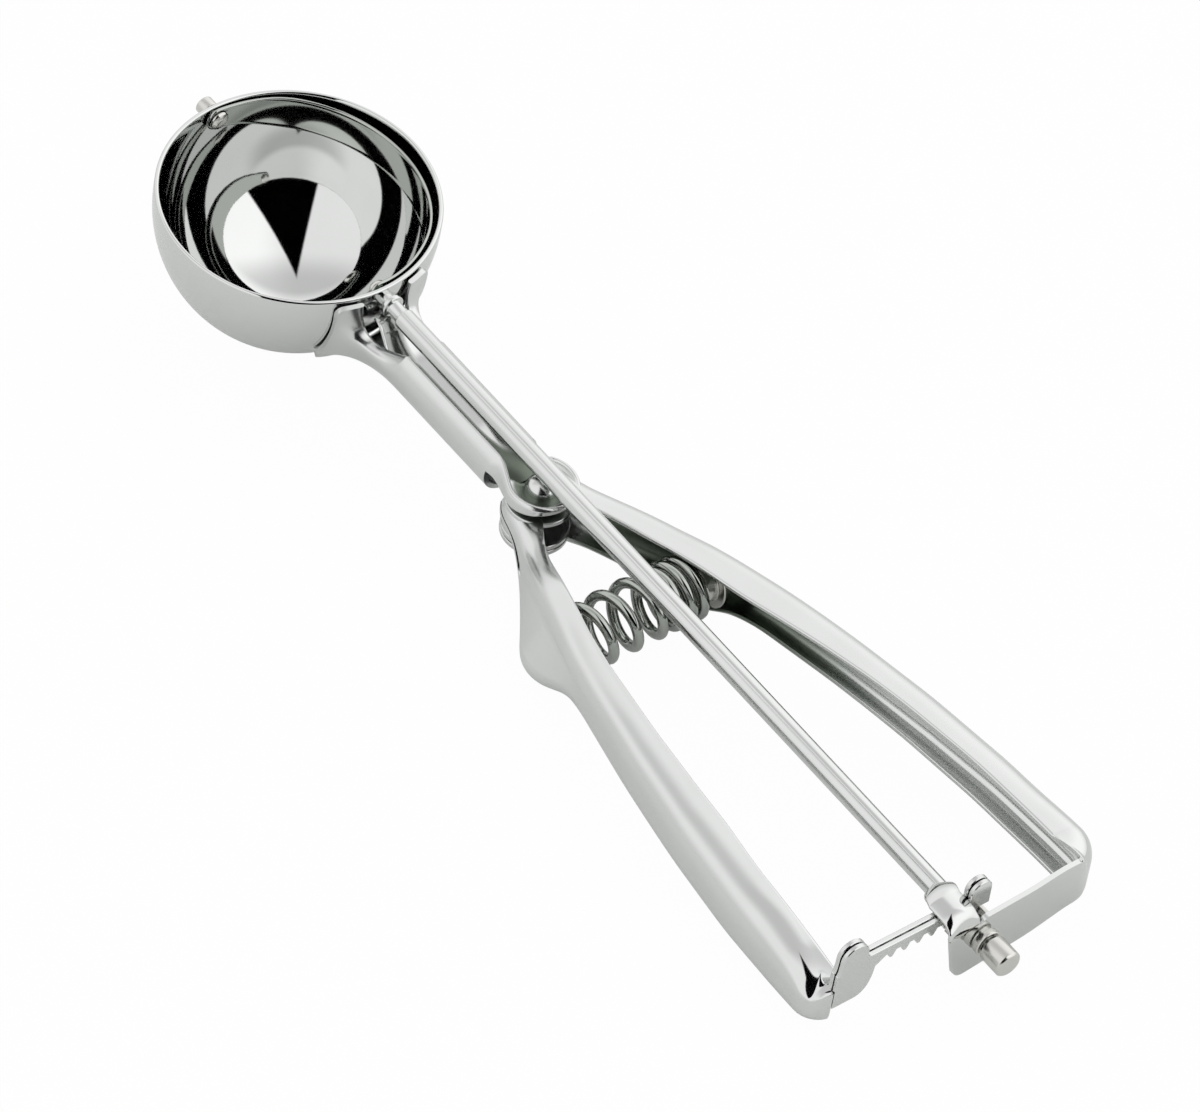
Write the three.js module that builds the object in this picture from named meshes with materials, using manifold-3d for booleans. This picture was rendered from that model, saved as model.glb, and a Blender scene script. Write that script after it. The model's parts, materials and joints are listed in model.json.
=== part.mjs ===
// A squeeze-handle portion scoop in sheet steel: a hemispherical bowl with a sweeping wiper, turned by a
// spindle, a pinion and a rack when the left handle is squeezed towards the fixed right handle.
//
// Lengths are millimetres. Everything is drawn in the tool's own frame first: X runs along the spindle from
// the bowl to the grip, Y points to the right handle, Z comes out of the bowl's mouth, and the origin is the
// centre of the bowl's sphere. At the end the whole tool is tilted until it lies on the plane z = 0.
import * as THREE from "three";
import { mergeVertices } from "three/addons/utils/BufferGeometryUtils.js";
import Module from "manifold-3d";

// Play and sheet
const GAP = 0.3;
const SHEET = 1;

// Bowl and wiper
const BOWL_RADIUS = 26;
const BOWL_DEPTH = 27.2;
const BOWL_WALL = 0.9;
const RIM_HEIGHT = 2.35;
const BOWL_SIDES = 56;
const BOWL_RINGS = 6;
const WIPER_WIDTH = 7;
const WIPER_SHEET = 0.6;
const WIPER_PLAY = 0.4;
const WIPER_END_RADIUS = 2.3;
const WIPER_DIP = THREE.MathUtils.degToRad(7);
const WIPER_SPREAD = Math.PI / 5;
const WIPER_STEPS = 40;
const WIPER_END_SHARES = [0.5, 0.8, 0.999];

// Spindle
const ROD_RADIUS = 2;
const NECK_RADIUS = 1.5;
const TENON_RADIUS = 1.1;
const COLLAR_RADIUS = 2.2;
const COLLAR_STANDOFF = 0.72;
const RIVET_HEAD_RADIUS = 2;
const RIVET_HEAD_HEIGHT = 0.9;
const PIN_REACH = 2.4;
const PIN_RADIUS = 1.75;
const ROUND_SIDES = 20;

// Shank
const TUBE_RADIUS = 5.9;
const TUBE_DROP = 6.8;
const TUBE_SLOT = 6.4;
const TUBE_END = 67.5;
const WING_HALF_WIDTH = 10.2;
const WING_BOTTOM = -15.5;
const FLARE_LENGTH = 11;
const FLARE_SHARES = [-0.8, 0, 0.2, 0.4, 0.65, 1];
const TUBE_STEPS = 16;

// Pivot
const PIVOT_X = 73.4;
const PIVOT_RADIUS = 1.75;
const DISH_RADIUS = 6.9;
const DISH_FLOOR = -5;
const DISH_RIM_HEIGHT = 1.6;
const DISH_LIP = 0.7;
const EAR_RADIUS = 6.2;
const HEAD_RADIUS = 3;
const HEAD_HEIGHT = 2.2;
const PIVOT_DEPTH = 7.6;
const TAIL_RADIUS = 2.1;
const TAIL_FACE_RADIUS = 2.7;
const DOME_STEPS = 6;

// Handles: lines are [x, value] stations, for the right handle unless a side is named
const HANDLE_END = 195.05;
const HANDLE_CORNER = { right: 8, left: 5.5 };
const HANDLE_EDGE_RADIUS = 3;
const HANDLE_START = 3;
const LEFT_SPREAD = 0.034;
const OUTER_LINE = [[73, 6.7], [77, 7.7], [81, 10], [90, 14.1], [98, 16.7], [107, 19.5], [116, 21.7],
  [133, 25], [151, 27.8], [169, 29.7], [184, 30.2], [198, 30.2]];
const SKIRT_LINE = [[76, 0], [84, 0.2], [89, 1], [94, 2.5], [99, 4.6], [104, 3.5], [110, 0.4], [116, 0],
  [198, 0]];
const TOP_FLANGE = {
  right: [[76, 6], [90, 7], [115, 8.4], [142, 7], [198, 7]],
  left: [[76, 6], [86, 4.5], [114, 5.3], [124, 5.7], [155, 7.4], [198, 6.8]],
};
const BOTTOM_FLANGE = [[76, 5], [104, 4], [141, 4.2], [172, 5], [198, 5]];
const TOP_LINE = [[93, -2.8], [101, -1.6], [110, -1.1], [125, 0.2], [150, 1.6], [198, 3.6]];
const BOTTOM_LINE = [[88, -16.4], [94, -17.1], [100, -17.1], [104, -16.2], [109, -13], [115, -11.8],
  [150, -10.6], [198, -8.6]];
const EAR_LEVEL_END = 8;
const HANDLE_SHARES = [0, 0.035, 0.07, 0.11, 0.15, 0.18, 0.21, 0.24, 0.27, 0.3, 0.33, 0.37, 0.44, 0.54,
  0.66, 0.78, 0.89];
const CORNER_SHARES = [0, 0.35, 0.6, 0.8, 0.92];
const CORNER_TRIM = 0.02;
const FOLD_STEPS = 3;

// Cross arm of the right handle, with the plate that carries the spindle and the tongue over the rack
const PLATE_BEHIND = 3.35;
const PLATE_TAPER = 1.7;
const PLATE_STEP = 2;
const ARM_SLANT = 0.06;
const ARM_TOP = 5;
const ARM_BOTTOM = -7.6;
const ARM_RISE = 0.4;
const ARM_ROOT_DROP = 0.6;
const ARM_ROOT_LIFT = 0.5;
const TONGUE_TOP = 7.4;
const TONGUE_LEFT = -8;
const TONGUE_WIDTH = 6.4;
const TONGUE_LENGTH = 11.1;
const TONGUE_LEVEL_LENGTH = 6.2;
const TONGUE_FOLD = 1.5;
const TONGUE_LEAN = 2;
const TONGUE_SAG = 0.2;
const TONGUE_TIP_TOP = 4.3;
const TONGUE_TIP_SHIFT = 1.8;
const FOOT_RADIUS = 3;

// Rack and pinion
const TOOTH_PITCH = 3;
const PINION_TEETH = 7;
const ADDENDUM = 0.7;
const DEDENDUM = 0.8;
const TOOTH_PLAY = 0.35;
const PINION_ROOT_SHARE = 1.55;
const PINION_TIP_SHARE = 0.4;
const RACK_ROOT_SHARE = 0.85;
const RACK_TIP_HALF = 0.28;
const RACK_SHEET = 0.9;
const RACK_TEETH = 7;
const RACK_LEFT = -29.9;
const RACK_BOTTOM = -3.9;
const RACK_EAR_TOP = 10.5;
const RACK_EAR_RADIUS = 2.9;
const RACK_EAR_INSET = 3.4;
const SMALL_EAR_SHARE = 0.8;
const HOLLOW_LENGTH = 4.5;
const HOLLOW_LEAN = 0.8;
const HOLLOW_END = 0.4;
const HOLLOW_DROP = 1.8;
const PINION_WIDTH = 4.3;

// Spindle end
const BUSH_COLLAR_RADIUS = 2.7;
const BUSH_COLLAR_LENGTH = 1.4;
const KNOB_RADIUS = 2.65;
const KNOB_LENGTH = 4.9;
const KNOB_BEVEL = 0.4;
const GROOVE_WIDTH = 0.7;

// Spring
const SPRING_X = 102.3;
const SPRING_Z = -9.4;
const SPRING_RADIUS = 5.5;
const WIRE_RADIUS = 0.9;
const SEAT_FACE = { right: 14.8, left: 15.8 };
const STUD_LENGTH = 3;
const SEAT_PLAY = 0.7;
const OPEN_TURNS = 3.5;
const CLOSE_TURNS = 2.5;
const CLOSE_PITCH = 2.7;
const STEPS_PER_TURN = 8;
const WIRE_SIDES = 5;

const STEEL = { color: 0xd4d6d8, roughness: 0.12, metalness: 1 };
const SATIN = { color: 0xc4c6c8, roughness: 0.28, metalness: 1 };
const WIRE = { color: 0x9da09f, roughness: 0.22, metalness: 1 };

const wasm = await Module();
wasm.setup();

// Solids: closed surfaces turned outward, joined and cut
function trianglesOf(geometry) {
  const bare = geometry.clone();
  bare.deleteAttribute("normal");
  bare.deleteAttribute("uv");
  const merged = mergeVertices(bare, 1e-4);
  const corners = [];
  for (let i = 0; i < merged.index.count; i += 3) {
    const [a, b, c] = merged.index.array.slice(i, i + 3);
    if (a !== b && b !== c && c !== a) corners.push(a, b, c);
  }
  return { points: merged.attributes.position.array, corners };
}

function signedVolume(points, corners) {
  const at = (i) => new THREE.Vector3().fromArray(points, 3 * i);
  let sum = 0;
  for (let i = 0; i < corners.length; i += 3) {
    sum += at(corners[i]).dot(at(corners[i + 1]).cross(at(corners[i + 2])));
  }
  return sum / 6;
}

function solid(geometry) {
  const { points, corners } = trianglesOf(geometry);
  const inward = signedVolume(points, corners) < 0;
  const triVerts = Uint32Array.from(inward ? corners.reverse() : corners);
  const vertProperties = Float32Array.from(points);
  return new wasm.Manifold(new wasm.Mesh({ numProp: 3, vertProperties, triVerts }));
}

function geometryOf(body) {
  const mesh = body.getMesh();
  const geometry = new THREE.BufferGeometry();
  geometry.setAttribute("position", new THREE.Float32BufferAttribute(mesh.vertProperties, 3));
  geometry.setIndex(Array.from(mesh.triVerts));
  return geometry;
}

// A round body about the X axis from [x, radius] stations.
function turnedX(stations, sides = ROUND_SIDES) {
  const profile = stations.map(([x, radius]) => new THREE.Vector2(radius, x));
  return solid(new THREE.LatheGeometry(profile, sides).rotateZ(-Math.PI / 2));
}

// A round body about a vertical axis at [x, y] from [z, radius] stations.
function turnedZ(stations, x, y, sides = 2 * ROUND_SIDES) {
  const profile = stations.map(([z, radius]) => new THREE.Vector2(radius, z));
  return solid(new THREE.LatheGeometry(profile, sides).rotateX(Math.PI / 2).translate(x, y, 0));
}

function cylinderX(radius, from, to, sides = ROUND_SIDES) {
  return turnedX([[from, 0], [from, radius], [to, radius], [to, 0]], sides);
}

function cylinderZ(radius, from, to, x, y) {
  return turnedZ([[from, 0], [from, radius], [to, radius], [to, 0]], x, y);
}

function block(x0, x1, y0, y1, z0, z1) {
  const box = new THREE.BoxGeometry(x1 - x0, y1 - y0, z1 - z0);
  return solid(box.translate((x0 + x1) / 2, (y0 + y1) / 2, (z0 + z1) / 2));
}

// An outline in the YZ plane drawn out along X.
function prismX(outline, from, to, curveSegments = 8) {
  const drawn = new THREE.ExtrudeGeometry(outline, { depth: to - from, bevelEnabled: false, curveSegments });
  const turned = new THREE.Matrix4().set(0, 0, 1, from, 1, 0, 0, 0, 0, 1, 0, 0, 0, 0, 0, 1);
  return solid(drawn.applyMatrix4(turned));
}

// An outline in the XZ plane drawn out along Y.
function prismY(outline, from, to, curveSegments = 8) {
  const drawn = new THREE.ExtrudeGeometry(outline, { depth: to - from, bevelEnabled: false, curveSegments });
  const turned = new THREE.Matrix4().set(1, 0, 0, 0, 0, 0, 1, from, 0, 1, 0, 0, 0, 0, 0, 1);
  return solid(drawn.applyMatrix4(turned));
}

// An outline in the XY plane drawn up along Z.
function prismZ(outline, from, to, curveSegments = 8) {
  const drawn = new THREE.ExtrudeGeometry(outline, { depth: to - from, bevelEnabled: false, curveSegments });
  return solid(drawn.translate(0, 0, from));
}

// A skin over rings of equal point count, closed by a flat cap at each end; flat() draws a ring in its plane.
function loft(sections, flat) {
  const clockwise = THREE.ShapeUtils.area(sections[0].map(flat)) < 0;
  const rings = clockwise ? sections.map((ring) => [...ring].reverse()) : sections;
  const count = rings[0].length;
  const corners = [];
  for (let r = 0; r + 1 < rings.length; r += 1) {
    for (let i = 0; i < count; i += 1) {
      const a = r * count + i;
      const b = r * count + ((i + 1) % count);
      corners.push(a, b, b + count, a, b + count, a + count);
    }
  }
  const last = (rings.length - 1) * count;
  const capOf = (ring) => THREE.ShapeUtils.triangulateShape(ring.map(flat), []);
  capOf(rings[0]).forEach(([a, b, c]) => corners.push(a, c, b));
  capOf(rings.at(-1)).forEach(([a, b, c]) => corners.push(last + a, last + b, last + c));
  const geometry = new THREE.BufferGeometry();
  const places = rings.flat().flatMap((p) => p.toArray());
  geometry.setAttribute("position", new THREE.Float32BufferAttribute(places, 3));
  geometry.setIndex(corners);
  return solid(geometry);
}

const acrossX = (p) => new THREE.Vector2(p.y, p.z);

// A smooth line through [x, value] stations.
function through(stations) {
  const line = new THREE.CubicInterpolant(stations.map(([x]) => x), stations.map(([, v]) => v), 1);
  const first = stations[0];
  const last = stations.at(-1);
  return (x) => {
    if (x <= first[0]) return first[1];
    return x >= last[0] ? last[1] : line.evaluate(x)[0];
  };
}

// Levels at the pivot, downward: the right handle's dished ear, the shank's ear, the left handle's two ears,
// the right handle's lower ear and the washer
const dishUnder = DISH_FLOOR - SHEET;
const rimTop = DISH_FLOOR + DISH_RIM_HEIGHT;
const shankEarTop = dishUnder - GAP;
const leftEarTop = shankEarTop - SHEET - GAP;
const leftEarUnder = leftEarTop - PIVOT_DEPTH + GAP;
const earBottom = { left: leftEarUnder, right: leftEarUnder - GAP - SHEET };
const washerTop = earBottom.right - GAP;

// Rack and plate: the pinion turns on the spindle, the rack lies over it with its teeth pointing down, and
// the plate stands behind both
const pitchRadius = (PINION_TEETH * TOOTH_PITCH) / (2 * Math.PI);
const rackTips = pitchRadius - ADDENDUM;
const rackRoots = pitchRadius + DEDENDUM;
const tongueUnder = TONGUE_TOP - RACK_SHEET;
const rackTop = tongueUnder - GAP;
const plateX = HANDLE_END + PLATE_BEHIND;
const tongueTipX = plateX - TONGUE_LENGTH;
const tongueBendX = plateX - TONGUE_LEVEL_LENGTH;
const rackFrontX = HANDLE_END - RACK_SHEET;
const rackBackX = rackFrontX - GAP - RACK_SHEET;

function makeBowl() {
  const inner = BOWL_RADIUS - BOWL_WALL;
  const innerDepth = BOWL_DEPTH - BOWL_WALL;
  const profile = new THREE.Path();
  profile.absellipse(0, 0, BOWL_RADIUS, BOWL_DEPTH, -Math.PI / 2, 0);
  profile.lineTo(BOWL_RADIUS, RIM_HEIGHT);
  profile.lineTo(inner, RIM_HEIGHT);
  profile.absellipse(0, 0, inner, innerDepth, 0, -Math.PI / 2, true);
  const points = profile.getPoints(BOWL_RINGS);
  points[0].x = 0;
  points.at(-1).x = 0;
  const shell = solid(new THREE.LatheGeometry(points, BOWL_SIDES).rotateX(Math.PI / 2));
  const rearHole = cylinderX(NECK_RADIUS + GAP, 0, 2 * BOWL_RADIUS);
  const farHole = cylinderX(TENON_RADIUS + GAP, -2 * BOWL_RADIUS, 0);
  return shell.subtract(rearHole).subtract(farHole);
}

// The wiper is a band on a sphere just inside the bowl, from the far pin round to the spindle.
const wiperOuter = BOWL_RADIUS - BOWL_WALL - WIPER_PLAY;
const wiperInner = wiperOuter - WIPER_SHEET;

function wiperHalfWidth(turn) {
  const overrun = Math.max(-turn, turn - Math.PI, 0) * wiperOuter;
  if (overrun > 0) return Math.sqrt(Math.max(WIPER_END_RADIUS ** 2 - overrun ** 2, 0.01));
  const spread = THREE.MathUtils.smoothstep(Math.min(turn, Math.PI - turn), 0, WIPER_SPREAD);
  return THREE.MathUtils.lerp(WIPER_END_RADIUS, WIPER_WIDTH / 2, spread);
}

function makeWiper() {
  const endTurn = WIPER_END_RADIUS / wiperOuter;
  const turns = WIPER_END_SHARES.map((share) => -share * endTurn).reverse();
  for (let i = 0; i <= WIPER_STEPS; i += 1) turns.push((i / WIPER_STEPS) * Math.PI);
  turns.push(...WIPER_END_SHARES.map((share) => Math.PI + share * endTurn));
  const side = new THREE.Vector3(0, Math.cos(WIPER_DIP), -Math.sin(WIPER_DIP));
  const lift = new THREE.Vector3(0, Math.sin(WIPER_DIP), Math.cos(WIPER_DIP));
  const along = new THREE.Vector3(1, 0, 0);
  const rings = turns.map((turn) => {
    const middle = along.clone().multiplyScalar(-Math.cos(turn)).addScaledVector(side, Math.sin(turn));
    const half = wiperHalfWidth(turn) / wiperOuter;
    const place = (radius, slope) =>
      middle.clone().multiplyScalar(radius * Math.cos(slope)).addScaledVector(lift, radius * Math.sin(slope));
    const outer = [-half, 0, half].map((slope) => place(wiperOuter, slope));
    const inner = [half, 0, -half].map((slope) => place(wiperInner, slope));
    return [...outer, ...inner];
  });
  const ringPlane = (p) => new THREE.Vector2(p.length(), p.dot(lift));
  const band = loft(rings, ringPlane);
  const holes = cylinderX(TENON_RADIUS + GAP, -BOWL_RADIUS, -wiperInner / 2);
  return band.subtract(holes).subtract(cylinderX(TENON_RADIUS + GAP, wiperInner / 2, BOWL_RADIUS));
}

// A double-headed pin at the far side: a low head inside the wiper, a barrel outside the bowl.
function makeWiperPin() {
  const headFace = -(wiperInner - GAP);
  const barrelFace = -(BOWL_RADIUS + GAP);
  return turnedX([
    [barrelFace - PIN_REACH, 0],
    [barrelFace - PIN_REACH, PIN_RADIUS - KNOB_BEVEL],
    [barrelFace - PIN_REACH + KNOB_BEVEL, PIN_RADIUS],
    [barrelFace, PIN_RADIUS],
    [barrelFace, TENON_RADIUS],
    [headFace, TENON_RADIUS],
    [headFace, RIVET_HEAD_RADIUS],
    [headFace + RIVET_HEAD_HEIGHT, RIVET_HEAD_RADIUS / 2],
    [headFace + RIVET_HEAD_HEIGHT, 0],
  ]);
}

const rivetFace = wiperInner - GAP;
const tenonEnd = rivetFace - RIVET_HEAD_HEIGHT / 2;

function makeWiperRivet() {
  const bore = TENON_RADIUS + GAP;
  return turnedX([
    [rivetFace - RIVET_HEAD_HEIGHT - GAP, 0],
    [rivetFace - RIVET_HEAD_HEIGHT - GAP, RIVET_HEAD_RADIUS / 2],
    [rivetFace, RIVET_HEAD_RADIUS],
    [rivetFace, bore],
    [tenonEnd - GAP, bore],
    [tenonEnd - GAP, 0],
  ]);
}

const neckStart = wiperOuter + GAP;
const collarStart = BOWL_RADIUS + SHEET + COLLAR_STANDOFF;
const collarEnd = collarStart + SHEET;
const rodStart = collarEnd + 2 * NECK_RADIUS;
const pinionStart = rackBackX - 2 * GAP;
const pinionEnd = pinionStart + PINION_WIDTH;
const bushFace = plateX + GAP + ARM_SLANT * BUSH_COLLAR_RADIUS;
const knobStart = bushFace + BUSH_COLLAR_LENGTH + GROOVE_WIDTH;
const rodEnd = knobStart + KNOB_LENGTH / 2;

function makeRod() {
  return turnedX([
    [tenonEnd, 0],
    [tenonEnd, TENON_RADIUS],
    [neckStart, TENON_RADIUS],
    [neckStart, NECK_RADIUS],
    [collarStart, NECK_RADIUS],
    [collarStart, COLLAR_RADIUS],
    [collarEnd, COLLAR_RADIUS],
    [collarEnd, NECK_RADIUS],
    [rodStart, NECK_RADIUS],
    [rodStart, ROD_RADIUS],
    [pinionStart - GAP, ROD_RADIUS],
    [pinionStart - GAP, NECK_RADIUS],
    [rodEnd, NECK_RADIUS],
    [rodEnd, 0],
  ]);
}

function makePinion() {
  const tip = pitchRadius + ADDENDUM;
  const root = pitchRadius - DEDENDUM;
  const halfAtPitch = (TOOTH_PITCH / 2 - TOOTH_PLAY) / 2 / pitchRadius;
  const outline = new THREE.Shape();
  for (let tooth = 0; tooth < PINION_TEETH; tooth += 1) {
    const middle = Math.PI / 2 + ((tooth + 0.5) * 2 * Math.PI) / PINION_TEETH;
    const corner = (radius, offset) => {
      const angle = middle + offset;
      return [radius * Math.cos(angle), radius * Math.sin(angle)];
    };
    const corners = [
      corner(root, -PINION_ROOT_SHARE * halfAtPitch),
      corner(pitchRadius, -halfAtPitch),
      corner(tip, -PINION_TIP_SHARE * halfAtPitch),
      corner(tip, PINION_TIP_SHARE * halfAtPitch),
      corner(pitchRadius, halfAtPitch),
      corner(root, PINION_ROOT_SHARE * halfAtPitch),
    ];
    corners.forEach(([y, z], i) => (tooth + i === 0 ? outline.moveTo(y, z) : outline.lineTo(y, z)));
  }
  outline.closePath();
  return prismX(outline, pinionStart, pinionEnd).subtract(cylinderX(NECK_RADIUS + GAP, 0, 2 * HANDLE_END));
}

// The rack's outline: an ear at each end, a straight top between them and a row of teeth underneath.
const smallEar = RACK_EAR_RADIUS * SMALL_EAR_SHARE;
const rightEarMiddle = TONGUE_LEFT + TONGUE_WIDTH + GAP + smallEar;
const leftEarMiddle = RACK_LEFT + RACK_EAR_INSET;

function rackOutline() {
  const outline = new THREE.Shape();
  const earCentre = RACK_EAR_TOP - RACK_EAR_RADIUS;
  const right = rightEarMiddle + smallEar;
  const firstTooth = -RACK_TEETH * TOOTH_PITCH;
  outline.moveTo(RACK_LEFT, RACK_BOTTOM);
  outline.lineTo(firstTooth - HOLLOW_LENGTH, RACK_BOTTOM);
  const hollowEnd = firstTooth - HOLLOW_END;
  outline.quadraticCurveTo(firstTooth - HOLLOW_LEAN, RACK_BOTTOM, hollowEnd, rackRoots - HOLLOW_DROP);
  const halfRoot = (TOOTH_PITCH / 2 - TOOTH_PLAY) * RACK_ROOT_SHARE;
  for (let tooth = 0; tooth < RACK_TEETH; tooth += 1) {
    const middle = firstTooth + (tooth + 1) * TOOTH_PITCH;
    outline.lineTo(middle - halfRoot, rackRoots);
    outline.lineTo(middle - RACK_TIP_HALF, rackTips);
    outline.lineTo(middle + RACK_TIP_HALF, rackTips);
    outline.lineTo(middle + halfRoot, rackRoots);
  }
  outline.lineTo(right, rackRoots);
  outline.lineTo(right, RACK_EAR_TOP - smallEar);
  outline.absarc(rightEarMiddle, RACK_EAR_TOP - smallEar, smallEar, 0, Math.PI);
  outline.lineTo(rightEarMiddle - smallEar, rackTop);
  outline.lineTo(leftEarMiddle + RACK_EAR_RADIUS, rackTop);
  outline.lineTo(leftEarMiddle + RACK_EAR_RADIUS, earCentre);
  outline.absarc(leftEarMiddle, earCentre, RACK_EAR_RADIUS, 0, Math.PI);
  outline.lineTo(RACK_LEFT, rackRoots);
  outline.closePath();
  return outline;
}

function makeRackPlate(front) {
  const from = front ? rackFrontX : rackBackX;
  return prismX(rackOutline(), from, from + RACK_SHEET);
}

// The shank: a saddle against the bowl, a slotted tube under the spindle and a flat pivot ear.
function tubeRing(x, wall) {
  const flare = THREE.MathUtils.clamp((BOWL_RADIUS + FLARE_LENGTH - x) / FLARE_LENGTH, 0, 1) ** 2;
  const wide = TUBE_RADIUS + flare * (WING_HALF_WIDTH - TUBE_RADIUS);
  const deep = TUBE_RADIUS + flare * (-TUBE_DROP - WING_BOTTOM - TUBE_RADIUS);
  const lip = Math.asin(TUBE_SLOT / 2 / TUBE_RADIUS);
  const sweep = 2 * (Math.PI - lip);
  const angles = Array.from({ length: TUBE_STEPS + 1 }, (_, i) => lip + (i / TUBE_STEPS) * sweep);
  const place = (a, inset) =>
    new THREE.Vector3(x, (wide - inset) * Math.sin(a), -TUBE_DROP + (deep - inset) * Math.cos(a));
  const outer = angles.map((a) => place(a, 0));
  const inner = angles.map((a) => place(a, wall)).reverse();
  return [...outer, ...inner];
}

function makeShank() {
  const ball = (clearance) => {
    const sphere = new THREE.SphereGeometry(1, BOWL_SIDES, BOWL_SIDES / 2).rotateX(Math.PI / 2);
    const radius = BOWL_RADIUS + clearance;
    return solid(sphere.scale(radius, radius, BOWL_DEPTH + clearance));
  };
  const wingTop = RIM_HEIGHT - SHEET;
  const window = block(0, 2 * BOWL_RADIUS, -WING_HALF_WIDTH, WING_HALF_WIDTH, WING_BOTTOM, wingTop);
  const wing = ball(GAP + SHEET).intersect(window);
  const starts = FLARE_SHARES.map((share) => BOWL_RADIUS + share * FLARE_LENGTH);
  const pivotRoom = cylinderZ(DISH_RADIUS + GAP, -2 * BOWL_RADIUS, BOWL_RADIUS, PIVOT_X, 0);
  const tube = loft([...starts, TUBE_END].map((x) => tubeRing(x, SHEET)), acrossX).subtract(pivotRoom);
  const ear = cylinderZ(EAR_RADIUS, shankEarTop - SHEET, shankEarTop, PIVOT_X, 0);
  const tabHalf = TUBE_RADIUS - SHEET / 2;
  const tabStart = TUBE_END - FLARE_LENGTH / 2;
  const tab = block(tabStart, PIVOT_X, -tabHalf, tabHalf, shankEarTop - SHEET, shankEarTop);
  const rodWay = cylinderX(ROD_RADIUS + 2 * GAP, 0, PIVOT_X);
  const rodNotch = block(0, PIVOT_X, -ROD_RADIUS - 2 * GAP, ROD_RADIUS + 2 * GAP, 0, BOWL_RADIUS);
  const rivetHole = cylinderZ(PIVOT_RADIUS + GAP, -2 * BOWL_RADIUS, BOWL_RADIUS, PIVOT_X, 0);
  return wing.add(tube).subtract(ball(GAP)).add(tab).add(ear)
    .subtract(rodWay).subtract(rodNotch).subtract(rivetHole);
}

// Handles: channels bent from sheet, open towards each other, with round ears about the pivot
function handleLines(side) {
  const level = (height) => [[PIVOT_X, height], [PIVOT_X + EAR_LEVEL_END, height]];
  const outer = through(OUTER_LINE);
  const spread = side === "left" ? LEFT_SPREAD : 0;
  return {
    outer: (x) => outer(x) + spread * (x - PIVOT_X),
    skirt: through(SKIRT_LINE),
    topFlange: through(TOP_FLANGE[side]),
    bottomFlange: through(BOTTOM_FLANGE),
    top: through([...level(side === "right" ? rimTop : leftEarTop), ...TOP_LINE]),
    bottom: through([...level(earBottom[side]), ...BOTTOM_LINE]),
    end: side === "right" ? plateX - ARM_SLANT * OUTER_LINE.at(-1)[1] : HANDLE_END,
    corner: HANDLE_CORNER[side],
  };
}

// One section of a handle's outside, or of its hollow when inset is positive, with a round end corner. The
// lower edge stands out from the upper one by the skirt.
function handleRing(lines, x, inset) {
  const cornerStart = lines.end - lines.corner;
  const past = Math.max(0, x - cornerStart);
  const cornerRadius = lines.corner - inset;
  const drawnIn = cornerRadius - Math.sqrt(Math.max(cornerRadius ** 2 - past ** 2, 0));
  const along = Math.min(x, cornerStart);
  const upper = lines.outer(along) - inset - drawnIn;
  const lower = upper + lines.skirt(along);
  const overcut = inset > 0 ? 2 * SHEET : 0;
  const edge = Math.max(HANDLE_EDGE_RADIUS - inset, GAP);
  const lip = (outer, flange) => Math.min(outer - flange, upper - edge - SHEET) - overcut;
  const topLip = lip(lines.outer(along), lines.topFlange(along));
  const bottomLip = lip(lines.outer(along) + lines.skirt(along), lines.bottomFlange(along));
  const top = lines.top(x) - inset;
  const bottom = lines.bottom(x) + inset;
  const outline = new THREE.Path();
  outline.moveTo(bottomLip, bottom);
  outline.lineTo(lower - edge, bottom);
  outline.absarc(lower - edge, bottom + edge, edge, -Math.PI / 2, 0);
  outline.lineTo(upper, top - edge);
  outline.absarc(upper - edge, top - edge, edge, 0, Math.PI / 2);
  outline.lineTo(topLip, top);
  const points = outline.getPoints(FOLD_STEPS);
  return points.filter((p, i) => i === 0 || p.distanceTo(points[i - 1]) > 1e-6)
    .map((p) => new THREE.Vector3(x, p.x, p.y));
}

function handleBlock(side, inset) {
  const lines = handleLines(side);
  const start = PIVOT_X + HANDLE_START;
  const cornerStart = lines.end - lines.corner;
  const stations = HANDLE_SHARES.map((share) => start + share * (cornerStart - start));
  const bends = CORNER_SHARES.map((share) => cornerStart + share * (lines.corner - inset));
  const back = lines.end - inset - (inset > 0 ? 0 : CORNER_TRIM * lines.corner);
  const front = inset > 0 ? [start - 2 * SHEET] : [];
  const rings = [...front, ...stations, ...bends, back].map((x) => handleRing(lines, x, inset));
  return loft(rings, acrossX);
}

// The right handle's upper ear is a dish with an upright rim, round the head of the pivot rivet.
function makeDish() {
  const curl = 2 * SHEET;
  return turnedZ(
    [
      [dishUnder, 0],
      [dishUnder, DISH_RADIUS - curl],
      [dishUnder + SHEET / 2, DISH_RADIUS - SHEET / 2],
      [DISH_FLOOR + SHEET / 2, DISH_RADIUS],
      [rimTop, DISH_RADIUS],
      [rimTop, DISH_RADIUS - DISH_LIP],
      [DISH_FLOOR + SHEET / 2, DISH_RADIUS - SHEET],
      [DISH_FLOOR, DISH_RADIUS - curl],
      [DISH_FLOOR, 0],
    ],
    PIVOT_X,
    0,
  );
}

function makeChannel(side) {
  const flatEar = (under) => cylinderZ(EAR_RADIUS, under, under + SHEET, PIVOT_X, 0);
  const topEar = side === "right" ? makeDish() : flatEar(leftEarTop - SHEET);
  const rivetHole = cylinderZ(PIVOT_RADIUS + GAP, -2 * BOWL_RADIUS, BOWL_RADIUS, PIVOT_X, 0);
  const channel = handleBlock(side, 0).subtract(handleBlock(side, SHEET));
  return channel.add(topEar).add(flatEar(earBottom[side])).subtract(rivetHole);
}

const mirrored = (body) => body.mirror([0, 1, 0]);

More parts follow.
